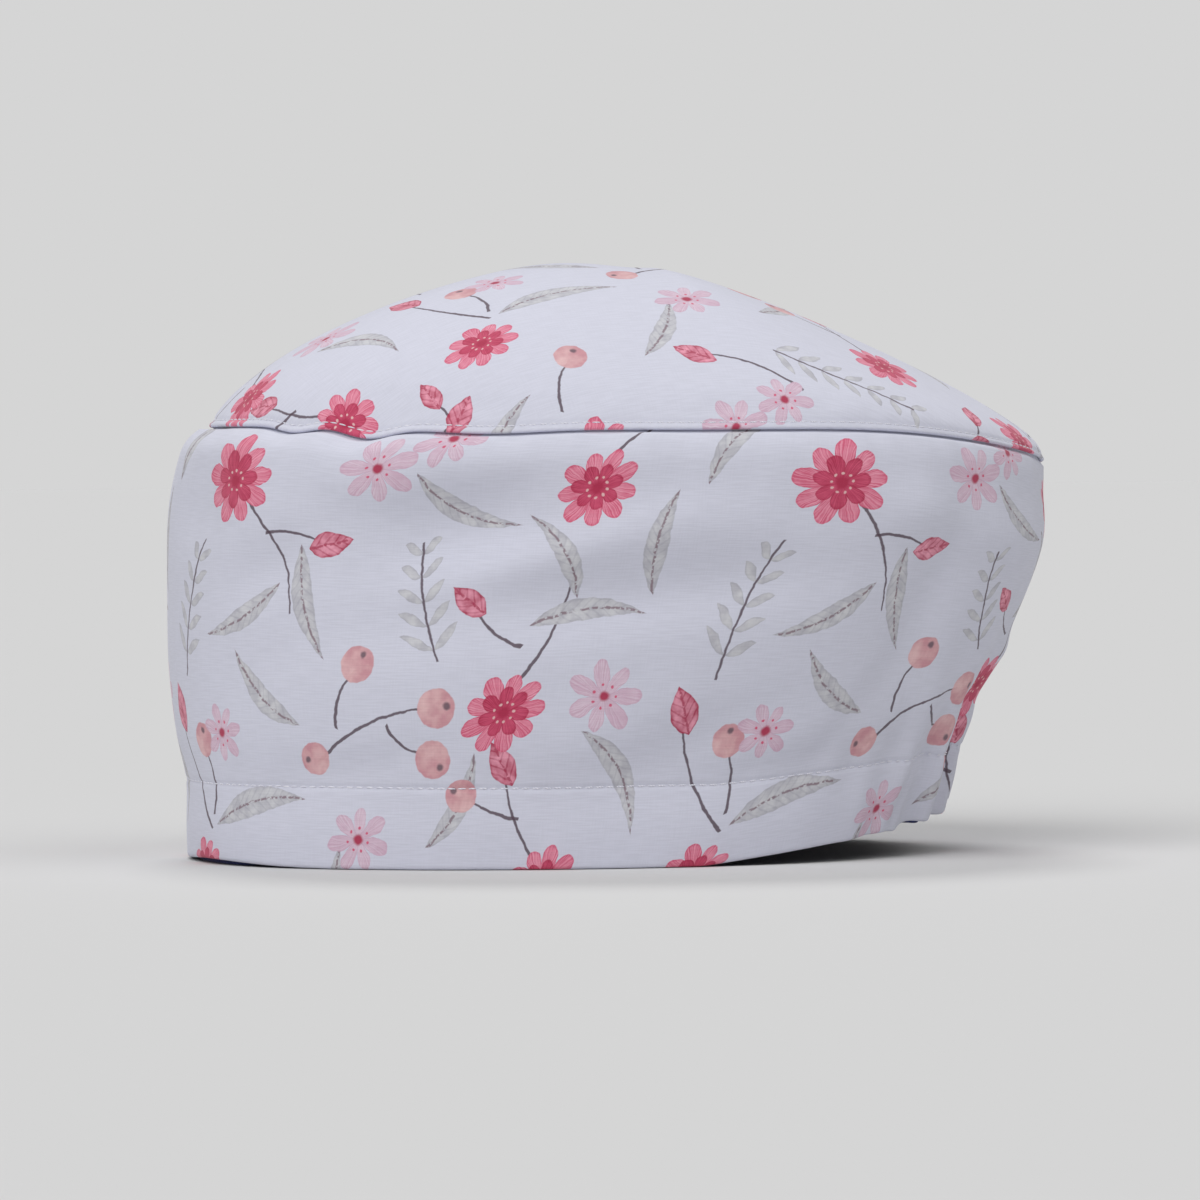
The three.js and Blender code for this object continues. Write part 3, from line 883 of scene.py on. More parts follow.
        leaves = add(tree, MIX, INKED, {0: cover, UNDER: drawing.taken("Below"), INK: body})
        ends = add(tree, RANGE, SOFT_STEP, {0: arch, 1: 0.0, 2: 0.04, 4: 0.9})
        line = add(tree, RANGE, SOFT_STEP, {0: side, 1: 0.15, 2: 0.48, 3: 1.0, 4: 0.0})
        drawn = add(tree, MATH, TIMES, {0: line, 1: ends})
        done = add(tree, MIX, INKED, {0: drawn, UNDER: leaves, INK: colour(self.inks.stem)})
        return self.finish(drawing, done)

    def berry(self) -> NodeTree:
        """A round berry, lighter on one side, with a small dark eye."""
        drawing = self.drawing("berry")
        tree = drawing.tree
        size = drawing.taken("Size")
        x = add(tree, MATH, OVER, {0: drawing.x, 1: size})
        y = add(tree, MATH, OVER, {0: drawing.y, 1: size})
        place = add(tree, COMBINE, None, {0: x, 1: y, 2: 0.0})
        away = {"operation": "DISTANCE"}
        glow = add(tree, VECTOR_MATH, away, {0: place, 1: (-0.3, 0.4, 0.0)})
        shade = add(tree, RANGE, SOFT_STEP, {0: glow.outputs["Value"], 1: 0.0, 2: 1.5, 4: 0.7})
        body = self.washed(drawing, shade, 0.6, self.inks.peach, self.inks.deep_peach)
        eye = add(tree, VECTOR_MATH, away, {0: place, 1: (0.55, -0.1, 0.0)})
        eyed = self.dotted(tree, body, eye.outputs["Value"], (0.1, 0.25), 0.85, self.inks.stem)
        radius = add(tree, VECTOR_MATH, LENGTH, {0: place}).outputs["Value"]
        cover = add(tree, RANGE, SOFT_STEP, {0: radius, 1: 0.93, 2: 1.0, 3: 0.95, 4: 0.0})
        done = add(tree, MIX, INKED, {0: cover, UNDER: drawing.taken("Below"), INK: eyed})
        return self.finish(drawing, done)

    def petal_ring(self) -> NodeTree:
        """One ring of petals, given the angle and the distance from its middle."""
        tree = new_tree("print_petal_ring", "ShaderNodeTree", {
            "Below": "Color", "Angle": "Float", "Radius": "Float", "Wash": "Float", "Petals": "Float",
            "Reach": "Float", "Waist": "Float", "Roundness": "Float", "Light": "Color", "Dark": "Color",
            "Seed": "Float"}, {"Colour": "Color"})
        taken = add(tree, "NodeGroupInput").outputs
        turned = add(tree, MATH, TIMES, {0: taken["Angle"], 1: taken["Petals"]})
        half = add(tree, MATH, TIMES, {0: turned, 1: 0.5})
        wave = add(tree, MATH, {"operation": "COSINE"}, {0: half})
        lobe = add(tree, MATH, SIZE_OF, {0: wave})
        form = add(tree, MATH, {"operation": "POWER"}, {0: lobe, 1: taken["Roundness"]})
        count = add(tree, MATH, OVER, {0: turned, 1: math.tau})
        number = add(tree, MATH, NEAREST, {0: count})
        named = add(tree, MATH, PLUS, {0: number, 1: taken["Seed"]})
        chance = add(tree, "ShaderNodeTexWhiteNoise", LINE_NOISE, {"W": named})
        long = add(tree, MATH, TIMES_PLUS, {0: chance, 1: 0.16, 2: 0.84})
        reach = add(tree, MATH, TIMES, {0: long, 1: taken["Reach"]})
        slack = add(tree, MATH, LESS, {0: 1.0, 1: taken["Waist"]})
        edge = add(tree, MATH, TIMES_PLUS, {0: form, 1: slack, 2: taken["Waist"]})
        rim = add(tree, MATH, TIMES, {0: edge, 1: reach})
        inset = add(tree, MATH, LESS, {0: rim, 1: taken["Radius"]})
        edge_tone = add(tree, RANGE, SOFT_STEP, {0: inset, 1: 0.0, 2: 1.3, 3: 0.4, 4: 0.0})
        gap_tone = add(tree, RANGE, SOFT_STEP, {0: lobe, 1: 0.0, 2: 0.4, 3: 0.5, 4: 0.0})
        fan = add(tree, MATH, TIMES_PLUS, {0: turned, 1: 1.5, 2: taken["Seed"]})
        along = add(tree, MATH, TIMES_PLUS, {0: taken["Radius"], 1: 0.12, 2: fan})
        vein = add(tree, NOISE, LINE_NOISE, {"W": along, "Scale": 1.6, "Detail": 1.0})
        streak = add(tree, RANGE, SOFT_STEP, {0: vein, 1: 0.25, 2: 0.75, 4: 0.75})
        first = add(tree, MATH, PLUS, {0: edge_tone, 1: gap_tone})
        second = add(tree, MATH, PLUS, {0: first, 1: streak})
        third = add(tree, MATH, TIMES_PLUS, {0: taken["Wash"], 1: 0.8, 2: second})
        fourth = add(tree, MATH, TIMES_PLUS, {0: chance, 1: 0.3, 2: third})
        tone = add(tree, MATH, LESS, {0: fourth, 1: 0.42})
        petal = add(tree, MIX, INKED, {0: tone, UNDER: taken["Light"], INK: taken["Dark"]})
        cover = add(tree, RANGE, SOFT_STEP, {0: inset, 1: 0.0, 2: INK_EDGE, 4: 0.95})
        done = add(tree, MIX, INKED, {0: cover, UNDER: taken["Below"], INK: petal})
        add(tree, "NodeGroupOutput", None, {0: done})
        return tree

    def polar(self, drawing: Drawing, tilt: Any) -> tuple[Node, NodeSocket]:
        """The angle about a blossom's middle and the distance from it, with the blossom tilted back."""
        tree = drawing.tree
        up = add(tree, MATH, OVER, {0: drawing.y, 1: tilt})
        angle = add(tree, MATH, {"operation": "ARCTAN2"}, {0: up, 1: drawing.x})
        flat = add(tree, COMBINE, None, {0: drawing.x, 1: up, 2: 0.0})
        return angle, add(tree, VECTOR_MATH, LENGTH, {0: flat}).outputs["Value"]

    def stamens(self, tree: NodeTree, below: Any, angle: Any, radius: Any, count: int,
                ring: float, dot: float, ink: int) -> Node:
        """Paints a ring of small dots.

        Args:
            tree: the tree that they go in.
            below: the colour that they are painted on.
            angle: the angle about the middle.
            radius: the distance from it.
            count: how many dots there are.
            ring: the ring's radius in millimetres.
            dot: a dot's radius.
            ink: its colour.

        Returns:
            The node with the painted colour.
        """
        half = math.pi / count
        turned = add(tree, MATH, WRAPPED, {0: angle, 1: half, 2: -half})
        across = add(tree, MATH, TIMES, {0: turned, 1: ring})
        off = add(tree, MATH, LESS, {0: radius, 1: ring})
        at = add(tree, COMBINE, None, {0: across, 1: off, 2: 0.0})
        away = add(tree, VECTOR_MATH, LENGTH, {0: at}).outputs["Value"]
        return self.dotted(tree, below, away, (0.6 * dot, 1.2 * dot), 0.9, ink)

    def ring_of(self, drawing: Drawing, below: Any, angle: Any, radius: Any, reach: float, petals: float,
                waist: float, light: int, dark: int, seed: float) -> Node:
        """Adds one ring of a blossom's petals.

        Args:
            drawing: the blossom's group.
            below: the colour that the ring is painted on.
            angle: the angle about the blossom's middle.
            radius: the distance from it.
            reach: the ring's radius as a share of the blossom's size.
            petals: how many there are.
            waist: how far the gaps between them come out, as a share of their reach.
            light: their lighter ink.
            dark: their darker ink.
            seed: sets which petals are longer and darker.

        Returns:
            The node with the painted colour.
        """
        long = add(drawing.tree, MATH, TIMES, {0: drawing.taken("Size"), 1: reach})
        return add(drawing.tree, "ShaderNodeGroup", {"node_tree": self.ring}, {
            "Below": below, "Angle": angle, "Radius": radius, "Wash": drawing.taken("Wash"), "Reach": long,
            "Petals": petals, "Waist": waist, "Roundness": 0.55, "Light": colour(light),
            "Dark": colour(dark), "Seed": seed})

    def star(self) -> NodeTree:
        """A pale blossom with seven slim petals and a small crimson eye."""
        drawing = self.drawing("star")
        tree, inks = drawing.tree, self.inks
        angle, radius = self.polar(drawing, 1.0)
        petals = self.ring_of(drawing, drawing.taken("Below"), angle, radius, 1.0, 7.0, 0.2,
                              inks.blush, inks.deep_blush, 3.0)
        eyed = self.dotted(tree, petals, radius, (0.8, 1.8), 0.95, inks.deep_crimson)
        return self.finish(drawing, self.stamens(tree, eyed, angle, radius, 7, 3.0, 0.42, inks.crimson))

    def rosette(self) -> NodeTree:
        """A full crimson blossom seen from the front: two rings of petals round pale stamens."""
        drawing = self.drawing("rosette")
        tree, inks = drawing.tree, self.inks
        angle, radius = self.polar(drawing, drawing.taken("Bend"))
        outer = self.ring_of(drawing, drawing.taken("Below"), angle, radius, 1.0, 9.0, 0.55,
                             inks.rose, inks.crimson, 11.0)
        inner = self.ring_of(drawing, outer, angle, radius, 0.66, 7.0, 0.5,
                             inks.crimson, inks.deep_crimson, 23.0)
        hearted = self.dotted(tree, inner, radius, (1.1, 2.5), 0.9, inks.deep_crimson)
        return self.finish(drawing, self.stamens(tree, hearted, angle, radius, 9, 2.9, 0.45, inks.peach))


@dataclass(frozen=True)
class PrintedPolycotton:
    """Plain-weave polycotton, bleached and printed with inks that soak in.

    It gives the eye a matt, faintly bluish white with fine thread lines, and its print is soft-edged,
    mottled like a wash, and shows pale through the cloth's reverse side.
    """

    ground: int = 0xD6D7E5
    roughness: float = 0.88
    sheen: float = 0.18
    show_through: float = 0.34    # how much of the print's strength shows on the reverse
    stray: float = 0.9            # how far an ink strays from the drawn line, in millimetres
    stray_scale: float = 0.32     # this and the next two are in waves to the millimetre
    wash_scale: float = 0.3
    grain_scale: float = 0.9
    thread_pitch: float = 0.4     # millimetres; the real 0.25 is too fine to show, so it is drawn coarser
    slub_length: float = 6.0      # how long a thicker stretch of thread is
    weft_share: float = 0.72      # how much of the texture is threads that lie round the cap
    thread_shade: float = 0.035   # painted shade where threads lie low; their tops get half as much painted highlight
    thread_height: float = 0.035  # millimetres

    def build(self, name: str, groups: PrintGroups) -> Material:
        """Makes the material.

        Args:
            name: the material's name.
            groups: the print's node groups.

        Returns:
            The material, which reads the piece's UV map in millimetres on the flat cloth.
        """
        material = bpy.data.materials.new(name)
        tree = emptied_tree(material)
        cloth = add(tree, "ShaderNodeUVMap", {"uv_map": "Cloth"})
        wobble = add(tree, NOISE, FLAT_NOISE, {"Vector": cloth, "Scale": self.stray_scale, "Detail": 2.0})
        shift = add(tree, VECTOR_MATH, TIMES_PLUS,
                    {0: wobble.outputs["Color"], 1: (self.stray, self.stray, 0.0), 2: cloth})
        spot = add(tree, VECTOR_MATH, TIMES, {0: shift, 1: (1.0, 1.0, 0.0)})
        wash = add(tree, NOISE, FLAT_NOISE, {"Vector": cloth, "Scale": self.wash_scale, "Detail": 2.5})
        grain = add(tree, NOISE, FLAT_NOISE, {"Vector": cloth, "Scale": self.grain_scale, "Detail": 1.0})
        side = add(tree, "ShaderNodeAttribute", {"attribute_name": "reverse"})
        fade = add(tree, MATH, TIMES, {0: side.outputs["Fac"], 1: 1 - self.show_through})
        threads = self.threads(tree, cloth)
        # Painted shade and highlight: darker where the threads lie low, lighter on their tops, as the
        # bump's heights
        low, high = 1 - self.thread_shade, 1 + self.thread_shade / 2
        shade = add(tree, RANGE, SOFT_STEP, {0: threads, 1: 0.25, 2: 0.75, 3: low, 4: high})
        bump = add(tree, BUMP, None,
                   {"Height": threads, "Distance": self.thread_height * MM, "Strength": 1.0})
        shown: Any = None
        for number, patch, inside in self.patches(tree, spot):
            painted: Any = colour(self.ground)
            for motif in (row for row in MOTIFS if row.reaches(patch)):
                turn = math.radians(motif.turn)
                painted = add(tree, "ShaderNodeGroup", {"node_tree": groups.trees[motif.kind]}, {
                    "Below": painted, "Spot": spot, "Wash": wash, "Grain": grain, "Size": motif.size,
                    "Bend": motif.bend, "Centre": (motif.x + HAIR * number, motif.y, 0.0),
                    "Along": (math.cos(turn), math.sin(turn), 0.0),
                    "Across": (-math.sin(turn), math.cos(turn), 0.0)})
            faded = add(tree, MIX, INKED, {0: fade, UNDER: painted, INK: colour(self.ground)})
            toned = add(tree, VECTOR_MATH, {"operation": "SCALE"}, {0: faded, 3: shade})
            dressed = add(tree, SHADER, None, {
                "Base Color": toned, "Roughness": self.roughness, "Sheen Weight": self.sheen,
                "Sheen Roughness": 0.5, "Specular IOR Level": 0.2, "Normal": bump})
            if shown is None:
                shown = dressed
            else:
                shown = add(tree, "ShaderNodeMixShader", None, {0: inside, 1: shown, 2: dressed})
        add(tree, SURFACE, None, {"Surface": shown})
        return material

    def patches(self, tree: NodeTree, spot: Node) -> Iterator[tuple[int, Corners, Node]]:
        """Divides the repeat into patches, so that a spot is painted with its own patch's motifs alone.

        Args:
            tree: the material's nodes.
            spot: the place on the cloth, in millimetres.

        Yields:
            Each patch's number, its corners, and a node that gives 1 inside it and 0 elsewhere.
        """
        columns, rows = PATCHES
        wide, tall = REPEAT[0] / columns, REPEAT[1] / rows
        at = add(tree, "ShaderNodeSeparateXYZ", None, {0: spot})
        cells = []
        for axis, size in enumerate((wide, tall)):
            place = add(tree, MATH, {"operation": "FLOORED_MODULO"}, {0: at.outputs[axis], 1: REPEAT[axis]})
            share = add(tree, MATH, OVER, {0: place, 1: size})
            cells.append(add(tree, MATH, {"operation": "FLOOR"}, {0: share}))
        code = add(tree, MATH, TIMES_PLUS, {0: cells[1], 1: float(columns), 2: cells[0]})
        for number in range(columns * rows):
            column, row = number % columns, number // columns
            inside = add(tree, MATH, {"operation": "COMPARE"}, {0: code, 1: float(number), 2: 0.5})
            corners = (column * wide, row * tall, (column + 1) * wide, (row + 1) * tall)
            yield number, corners, inside

    def threads(self, tree: NodeTree, cloth: Node) -> Node:
        """The height of the crossing threads, from 0 to 1."""
        lines = []
        for along, across in ((self.slub_length, self.thread_pitch), (self.thread_pitch, self.slub_length)):
            stretched = add(tree, VECTOR_MATH, TIMES, {0: cloth, 1: (1 / along, 1 / across, 0.0)})
            lines.append(add(tree, NOISE, FLAT_NOISE, {"Vector": stretched, "Scale": 1.0, "Detail": 0.0}))
        weft = add(tree, MATH, TIMES, {0: lines[0], 1: self.weft_share})
        return add(tree, MATH, TIMES_PLUS, {0: lines[1], 1: 1 - self.weft_share, 2: weft})


@dataclass(frozen=True)
class NavyTwill:
    """Dyed polycotton twill tape: dark navy, matt, with fine slanting ribs.

    The ribs are drawn twice as far apart as real ones, which would be too fine to show.
    """

    # light and dark: the navy painted on the ribs' tops and between them, as painted light and shade
    light: int = 0x363D7B
    dark: int = 0x252A58
    roughness: float = 0.85
    half_rib: float = 0.8         # half the way from rib to rib, in millimetres
    rib_height: float = 0.06

    def build(self, name: str) -> Material:
        """Makes the material, which reads the piece's UV map in millimetres."""
        material = bpy.data.materials.new(name)
        tree = emptied_tree(material)
        cloth = add(tree, "ShaderNodeUVMap", {"uv_map": "Cloth"})
        ribs = add(tree, WAVE, SLANTED, {
            "Vector": cloth, "Scale": WAVE_SCALE / self.half_rib, "Distortion": 0.6, "Detail": 1.0})
        wear = add(tree, NOISE, FLAT_NOISE, {"Vector": cloth, "Scale": 0.5, "Detail": 3.0})
        # Painted light and shade: lighter on the ribs' tops, darker between them, mottled by the tape's
        # real wear
        tone = add(tree, MATH, TIMES, {0: ribs.outputs["Fac"], 1: wear})
        ink = add(tree, MIX, INKED, {0: tone, UNDER: colour(self.dark), INK: colour(self.light)})
        bump = add(tree, BUMP, None,
                   {"Height": ribs.outputs["Fac"], "Distance": self.rib_height * MM, "Strength": 1.0})
        shader = add(tree, SHADER, None, {
            "Base Color": ink, "Roughness": self.roughness, "Sheen Weight": 0.3, "Sheen Roughness": 0.4,
            "Specular IOR Level": 0.25, "Normal": bump})
        add(tree, SURFACE, None, {"Surface": shader})
        return material


@dataclass(frozen=True)
class SewingThread:
    """Spun polyester sewing thread: white, with a soft lustre and a fine twist along it."""

    # light and dark: the white painted on the twist's turns and in its grooves, as painted light and shade
    light: int = 0xF3F3FA
    dark: int = 0xCFCFDD
    roughness: float = 0.6
    half_twist: float = 0.35      # half the way from one turn of the twist to the next, in millimetres
    twist_height: float = 0.03

    def build(self, name: str) -> Material:
        """Makes the material, which reads Object coordinates."""
        material = bpy.data.materials.new(name)
        tree = emptied_tree(material)
        where = add(tree, "ShaderNodeTexCoord")
        twist = add(tree, WAVE, SLANTED, {
            "Vector": where.outputs["Object"], "Scale": WAVE_SCALE / (self.half_twist * MM),
            "Distortion": 0.5}).outputs["Fac"]
        # Painted light and shade: lighter on the twist's turns, darker in its grooves, as the bump's
        # heights
        ink = add(tree, MIX, INKED, {0: twist, UNDER: colour(self.dark), INK: colour(self.light)})
        bump = add(tree, BUMP, None,
                   {"Height": twist, "Distance": self.twist_height * MM, "Strength": 1.0})
        shader = add(tree, SHADER, None, {
            "Base Color": ink, "Roughness": self.roughness, "Sheen Weight": 0.1, "Normal": bump})
        add(tree, SURFACE, None, {"Surface": shader})
        return material


# The pieces of the cap.
def risen(run: np.ndarray, rise: np.ndarray) -> np.ndarray:
    """The runs of a mesh's rings and columns, with the lower edge moved up by a rise for each column."""
    return run[:, None] + rise * (1 - smooth(0, HEM_LIFT_RUN, run[:, None]))


def strip_print(around: np.ndarray, run: np.ndarray) -> np.ndarray:
    """The flat coordinates of a strip of cloth that goes round the cap."""
    return np.stack(np.broadcast_arrays(around[None, :], run[:, None]), axis=-1)


@dataclass
class SideBand:
    """The tall strip of printed cloth round the head, with its hem and the elastic's gathers.

    Attributes:
        form: the cap's shape.
        cut_length: the length of the strip as it was cut, in metres; not used.
        cut_width: its width, with the hem's turning and the seam allowance; not used.
    """

    form: CapForm
    cut_length: float = 0.665
    cut_width: float = 0.150

    def path(self) -> tuple[np.ndarray, np.ndarray, np.ndarray]:
        """The way round a cut through the cloth: run, depth, and 1 where the reverse side shows.

        The rings lie closest together round the hem's stitching and the seam.
        """
        lip, top = SEAM_RUN - CROWN_LIP, SEAM_RUN + SEAM_ALLOWANCE
        outside = ring_runs(
            (1.6, 18, 13), (18.8, 21.8, 9), (23, 104, 60), (105, lip, 17), (SEAM_RUN, top, 3))
        inside = ring_runs((top, SEAM_RUN, 3), (lip, 105, 6), (102, 24, 36), (22.8, 1.8, 9))
        edge_run, edge_depth = rounded_edge(HEM_CLOTH, HEM_EDGE_STEPS)
        thickness = HEM_CLOTH + (CLOTH - HEM_CLOTH) * smooth(HEM_DEPTH, BAND_TOP, inside)
        run = np.concatenate([outside, inside, edge_run])
        depth = np.concatenate([0 * outside, thickness, edge_depth])
        reverse = np.concatenate([0 * outside, inside > HEM_DEPTH, 0 * edge_run])
        return run, depth, reverse

    def build(self) -> Object:
        """Builds the side band with the print's coordinates, whole repeats round the cap."""
        run, depth, reverse = self.path()
        degrees = column_angles()[None, :]
        runs = risen(run, bumps_at(HEM_PEEPS + HEM_LIFTS, degrees))
        points = self.form.wall_layer(degrees, runs, over_columns(depth))
        girth = self.form.wall.point(degrees[0], np.array(GIRTH_RUN))
        steps = np.linalg.norm(np.roll(girth, -1, axis=0) - girth, axis=1)
        around = np.concatenate([[0.0], np.cumsum(steps)]) / steps.sum() * REPEATS_ROUND * REPEAT[0]
        return ClothGrid("side_band_cloth", points, strip_print(around, run), reverse).build()

    def dress(self, piece: Object, material: Material) -> None:
        seat(piece, material, "side_band")


@dataclass
class Crown:
    """The oval domed top panel, whose turned edge lies over the side band.

    Attributes:
        form: the cap's shape.
        cut_long: the longer size of the oval as it was cut, in metres; not used.
        cut_wide: its shorter size; not used.
        middle: from the last ring of the mesh to the crown's middle, in millimetres.
    """

    form: CapForm
    cut_long: float = 0.270
    cut_wide: float = 0.215
    middle: float = 3.0

    def build(self) -> Object:
        """Builds the crown, from its middle inside, down round its edge and up to its middle outside."""
        last = CROWN_RUN - self.middle
        inside = ring_runs((last, 12, 34), (9, 0.3, 6))
        outside = ring_runs((0.3, 6, 14), (7.5, last, 62))
        edge_run, edge_depth = rounded_edge(CLOTH, EDGE_STEPS)
        run = np.concatenate([inside, edge_run - CROWN_LIP, outside])
        depth = np.concatenate([0 * inside + CLOTH, edge_depth, 0 * outside])
        reverse = (depth > CLOTH / 2).astype(float)
        points = self.form.crown_layer(column_angles()[None, :], over_columns(run), over_columns(depth))
        pole = self.form.crown.point(np.array(0.0), np.array(CROWN_RUN))
        poles = np.stack([pole - (0, 0, CLOTH), pole])
        return ClothGrid("crown_cloth", points, self.flat_cloth(run), reverse, poles, CROWN_PRINT).build()

    def flat_cloth(self, run: np.ndarray) -> np.ndarray:
        """The crown's flat coordinates, with each column laid out straight from the middle.

        Args:
            run: the rings' distances from the seam.

        Returns:
            Coordinates on the print for each ring and column, the first column again at the end.
        """
        degrees = column_angles()[None, :]
        down = np.arange(CROWN_RUN, -1, -1)
        steps = np.linalg.norm(np.diff(self.form.crown.point(degrees, down[:, None]), axis=0), axis=2)
        away = np.concatenate([np.zeros((1, COLUMNS)), np.cumsum(steps, axis=0)])
        reach = np.stack([np.interp(-run, -down, away[:, i]) for i in range(COLUMNS)], axis=1)
        reach = reach + np.maximum(-run, 0)[:, None]
        around = np.radians(degrees)
        cloth = np.stack([reach * np.cos(around), reach * np.sin(around)], axis=-1) + CROWN_PRINT
        return np.concatenate([cloth, cloth[:, :1]], axis=1)

    def dress(self, piece: Object, material: Material) -> None:
        seat(piece, material, "crown")


@dataclass
class InnerBand:
    """The navy facing inside the hem.

    Attributes:
        form: the cap's shape.
        cut_length: the length of the strip as it was cut, in metres; not used.
        cut_width: its width; not used.
    """

    form: CapForm
    cut_length: float = 0.590
    cut_width: float = 0.028

    def build(self) -> Object:
        """Builds the band, which comes down to the table where the printed hem rides up."""
        outside = ring_runs((1.2, BAND_TOP, 18))
        edge_run, edge_depth = rounded_edge(BAND_CLOTH, EDGE_STEPS)
        run = np.concatenate([outside, outside[::-1], edge_run])
        depth = np.concatenate([0 * outside, 0 * outside + BAND_CLOTH, edge_depth]) + HEM_CLOTH + BAND_GAP
        degrees = column_angles()[None, :]
        hidden = BAND_BOTTOM * (1 - np.minimum(bumps_at(HEM_PEEPS, degrees), 1))
        runs = risen(run, hidden + bumps_at(HEM_LIFTS, degrees))
        points = self.form.wall_layer(degrees, runs, over_columns(depth))
        around = np.linspace(0, REPEATS_ROUND * REPEAT[0], COLUMNS + 1)
        return ClothGrid("inner_band_cloth", points, strip_print(around, run), 0 * run).build()

    def dress(self, piece: Object, material: Material) -> None:
        seat(piece, material, "inner_band")


@dataclass
class StitchLine:
    """A line of lockstitch round the cap.

    Attributes:
        name: the piece's name.
        layer: gives the cloth's points from angles, runs and depths.
        run: how far along the cloth the line lies.
        pitch: the distance from one stitch to the next, in millimetres.
        length: how long a stitch shows.
        thread: the thread's thickness.
        slant: how far a stitch turns to either side, in degrees.
        seed: sets the small turns of the stitches.
    """

    name: str
    layer: Callable[[np.ndarray, np.ndarray, np.ndarray], np.ndarray]
    run: float
    pitch: float = 2.7
    length: float = 2.25
    thread: float = 0.42
    slant: float = 4.0
    seed: int = 4

    def over(self, out: float) -> np.ndarray:
        """Points along the line, over the cloth by an offset in millimetres."""
        depth = np.full(COLUMNS, -STITCH_RISE - out)
        return self.layer(column_angles(), np.full(COLUMNS, self.run), depth)

    def path(self) -> Object:
        """The line that the stitches follow, with the way that the cloth faces along it."""
        low = self.over(0.0)
        out = self.over(1.0) - low
        mesh = bpy.data.meshes.new(self.name)
        edges = [(i, (i + 1) % COLUMNS) for i in range(COLUMNS)]
        mesh.from_pydata((low * MM).tolist(), edges, [])
        attribute = mesh.attributes.new("out", "FLOAT_VECTOR", "POINT")
        attribute.data.foreach_set("vector", out.astype(np.float32).ravel())
        return new_object(self.name, mesh)

    def tree(self) -> NodeTree:
        """The nodes that lay a short length of thread at each step along the line."""
        tree = new_tree("lay_stitches", "GeometryNodeTree", {
            "Geometry": "Geometry", "Pitch": "Float", "Length": "Float", "Thread": "Float",
            "Slant": "Float", "Seed": "Int", "Finish": "Material"}, {"Geometry": "Geometry"})
        start = add(tree, "NodeGroupInput")
        line = add(tree, "GeometryNodeMeshToCurve", None, {"Mesh": start.outputs["Geometry"]})
        steps = add(tree, "GeometryNodeResampleCurve", {"mode": "LENGTH"},
                    {"Curve": line, "Length": start.outputs["Pitch"]})
        out = add(tree, "GeometryNodeInputNamedAttribute", {"data_type": "FLOAT_VECTOR"}, {"Name": "out"})
        ahead = add(tree, "GeometryNodeInputTangent")
        upright = add(tree, "FunctionNodeAlignRotationToVector", {"axis": "Z"}, {"Vector": out})
        turned = add(tree, "FunctionNodeAlignRotationToVector", {"axis": "X", "pivot_axis": "Z"},
                     {"Rotation": upright, "Vector": ahead})
        less = add(tree, MATH, TIMES, {0: start.outputs["Slant"], 1: -1.0})
        slant = add(tree, "FunctionNodeRandomValue", {"data_type": "FLOAT"},
                    {2: less, 3: start.outputs["Slant"], "Seed": start.outputs["Seed"]})
        about = add(tree, "FunctionNodeAxisAngleToRotation", None,
                    {"Axis": (0.0, 0.0, 1.0), "Angle": slant})
        slanted = add(tree, "FunctionNodeRotateRotation", {"rotation_space": "LOCAL"},
                      {"Rotation": turned, "Rotate By": about})
        bead = add(tree, "GeometryNodeMeshUVSphere", None, {"Segments": 8, "Rings": 6, "Radius": 0.5})
        flat = add(tree, MATH, TIMES, {0: start.outputs["Thread"], 1: 0.8})
        sizes = add(tree, COMBINE, None, {0: start.outputs["Length"], 1: start.outputs["Thread"], 2: flat})
        thread = add(tree, "GeometryNodeTransform", None, {"Geometry": bead, "Scale": sizes})
        smoothed = add(tree, "GeometryNodeSetShadeSmooth", None, {"Geometry": thread})
        laid = add(tree, "GeometryNodeInstanceOnPoints", None,
                   {"Points": steps, "Instance": smoothed, "Rotation": slanted})
        real = add(tree, "GeometryNodeRealizeInstances", None, {"Geometry": laid})
        finished = add(tree, "GeometryNodeSetMaterial", None,
                       {"Geometry": real, "Material": start.outputs["Finish"]})
        add(tree, "NodeGroupOutput", None, {0: finished})
        return tree

    def build(self, tree: NodeTree, material: Material) -> Object:
        """Lays the stitches and turns them into a plain mesh.

        Args:
            tree: the nodes that lay the stitches.
            material: the thread.

        Returns:
            The finished piece.
        """
        line = self.path()
        modifier = line.modifiers.new("stitches", "NODES")
        modifier.node_group = tree
        values = {"Pitch": self.pitch * MM, "Length": self.length * MM, "Thread": self.thread * MM,
                  "Slant": math.radians(self.slant), "Seed": self.seed, "Finish": material}
        for socket in tree.interface.items_tree:
            if socket.in_out == "INPUT" and socket.name in values:
                modifier[socket.identifier] = values[socket.name]
        graph = bpy.context.evaluated_depsgraph_get()
        mesh = bpy.data.meshes.new_from_object(line.evaluated_get(graph))
        bpy.data.objects.remove(line)
        piece = new_object(self.name, mesh)
        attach(piece, CAP_BODY)
        log.info("%s: %d faces", piece.name, len(piece.data.polygons))
        return piece


@dataclass(frozen=True)
class Sun:
    """A soft light: its name, where it comes from, its strength and how wide it looks, in degrees."""

    name: str
    direction: tuple[float, float, float]
    strength: float
    width: float

    def build(self) -> None:
        """Adds the light."""
        data = bpy.data.lights.new(self.name, "SUN")
        data.energy = self.strength
        data.angle = math.radians(self.width)
        light = new_object(self.name, data)
        light.rotation_mode = "QUATERNION"
        light.rotation_quaternion = Vector(self.direction).to_track_quat("Z", "Y")


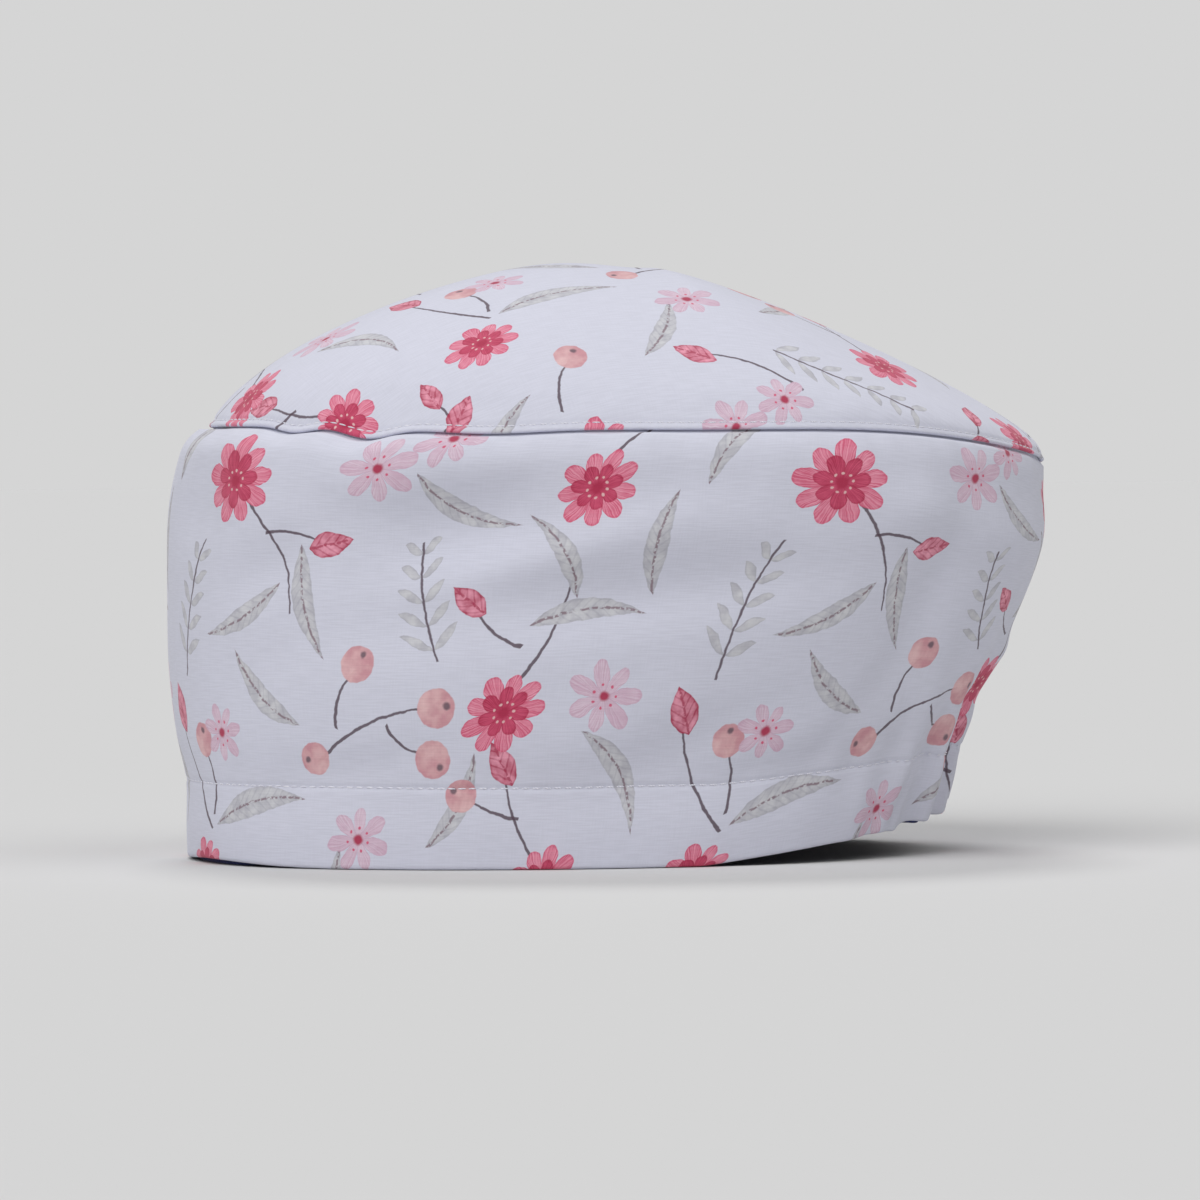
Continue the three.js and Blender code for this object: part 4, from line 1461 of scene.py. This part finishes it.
@dataclass
class Studio:
    """The pale floor, the soft light and the camera.

    Attributes:
        azimuth: where the camera stands, in degrees, as seen from above.
        elevation: its height above the horizon in degrees.
        roll: how far the picture is turned, in degrees.
        distance: the camera's distance from what it looks at, in metres.
        aim: the point that it looks at.
        lens: its focal length in millimetres.
        sensor: the width of its sensor.
        suns: the lights.
        fill: the strength of the white light that comes from all round.
        backdrop: the colour behind the table.
        floor: the colour of the table.
        reach: how far the table goes to each side, in metres.
    """

    azimuth: float = -15.0
    elevation: float = 1.1
    roll: float = 0.4
    distance: float = 1.8
    aim: tuple[float, float, float] = (-0.0024, 0.0, 0.0668)
    lens: float = 203.8
    sensor: float = 36.0
    suns: tuple[Sun, ...] = (
        Sun("key", (-0.52, -0.55, 0.75), 1.6, 50),
        Sun("top", (0.6, -0.5, 1.0), 0.5, 50),
        Sun("back", (0.1, 0.6, 1.0), 0.9, 20),
    )
    fill: float = 0.24
    backdrop: int = 0xD5D5D5
    floor: int = 0xD8D8D8
    reach: float = 40.0

    def camera(self) -> None:
        """Sets the camera up at the photograph's angle."""
        turn, lift, roll = (math.radians(v) for v in (self.azimuth, self.elevation, self.roll))
        back = Vector((math.sin(turn) * math.cos(lift), -math.cos(turn) * math.cos(lift), math.sin(lift)))
        right = Vector((math.cos(turn), math.sin(turn), 0.0))
        up = back.cross(right)
        level = right * math.cos(roll) - up * math.sin(roll)
        top = right * math.sin(roll) + up * math.cos(roll)
        data = bpy.data.cameras.new("camera")
        data.lens = self.lens
        data.sensor_width = self.sensor
        camera = new_object("camera", data)
        rotation = Matrix((level, top, back)).transposed().to_4x4()
        camera.matrix_world = Matrix.Translation(Vector(self.aim) + back * self.distance) @ rotation
        bpy.context.scene.camera = camera

    def sky(self) -> None:
        """Fills in from all round with white light, in front of a pale backdrop."""
        world = bpy.data.worlds.new("studio")
        tree = emptied_tree(world)
        path = add(tree, "ShaderNodeLightPath")
        light = "ShaderNodeBackground"
        fill = add(tree, light, None, {"Color": (1.0, 1.0, 1.0, 1.0), "Strength": self.fill})
        wall = add(tree, light, None, {"Color": colour(self.backdrop), "Strength": 1.0})
        shown = add(tree, "ShaderNodeMixShader", None, {0: path.outputs["Is Camera Ray"], 1: fill, 2: wall})
        add(tree, "ShaderNodeOutputWorld", None, {"Surface": shown})
        bpy.context.scene.world = world

    def ground(self) -> None:
        """Lays the floor, a table as wide as the studio."""
        material = bpy.data.materials.new("matt card")
        tree = emptied_tree(material)
        shader = add(tree, SHADER, None,
                     {"Base Color": colour(self.floor), "Roughness": 1.0, "Specular IOR Level": 0.0})
        add(tree, SURFACE, None, {"Surface": shader})
        mesh = bpy.data.meshes.new("floor")
        corners = [(x * self.reach, y * self.reach, 0.0) for x, y in ((-1, -1), (1, -1), (1, 1), (-1, 1))]
        mesh.from_pydata(corners, [], [(0, 1, 2, 3)])
        mesh.materials.append(material)
        new_object("floor", mesh)

    def build(self) -> None:
        """Sets the studio up."""
        self.camera()
        for sun in self.suns:
            sun.build()
        self.sky()
        self.ground()
        view = bpy.context.scene.view_settings
        view.view_transform = "Standard"
        view.look = "None"
        view.exposure = 0.0
        view.gamma = 1.0


def main() -> None:
    """Builds the cap and the studio."""
    logging.basicConfig(level=logging.INFO, format="%(message)s")
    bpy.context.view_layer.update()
    form = CapForm()
    groups = PrintGroups(Inks())
    printed = PrintedPolycotton().build("printed polycotton, plain weave", groups)
    navy = NavyTwill().build("navy polycotton twill")
    thread = SewingThread().build("spun polyester thread")

    for part, cloth in ((SideBand(form), printed), (Crown(form), printed), (InnerBand(form), navy)):
        part.dress(part.build(), cloth)

    lines = (StitchLine("crown_topstitch", form.crown_layer, TOPSTITCH_RUN),
             StitchLine("hem_stitch", form.wall_layer, HEM_STITCH_RUN, seed=9))
    tree = lines[0].tree()
    for line in lines:
        line.build(tree, thread)

    Studio().build()


if __name__ == "__main__":
    main()
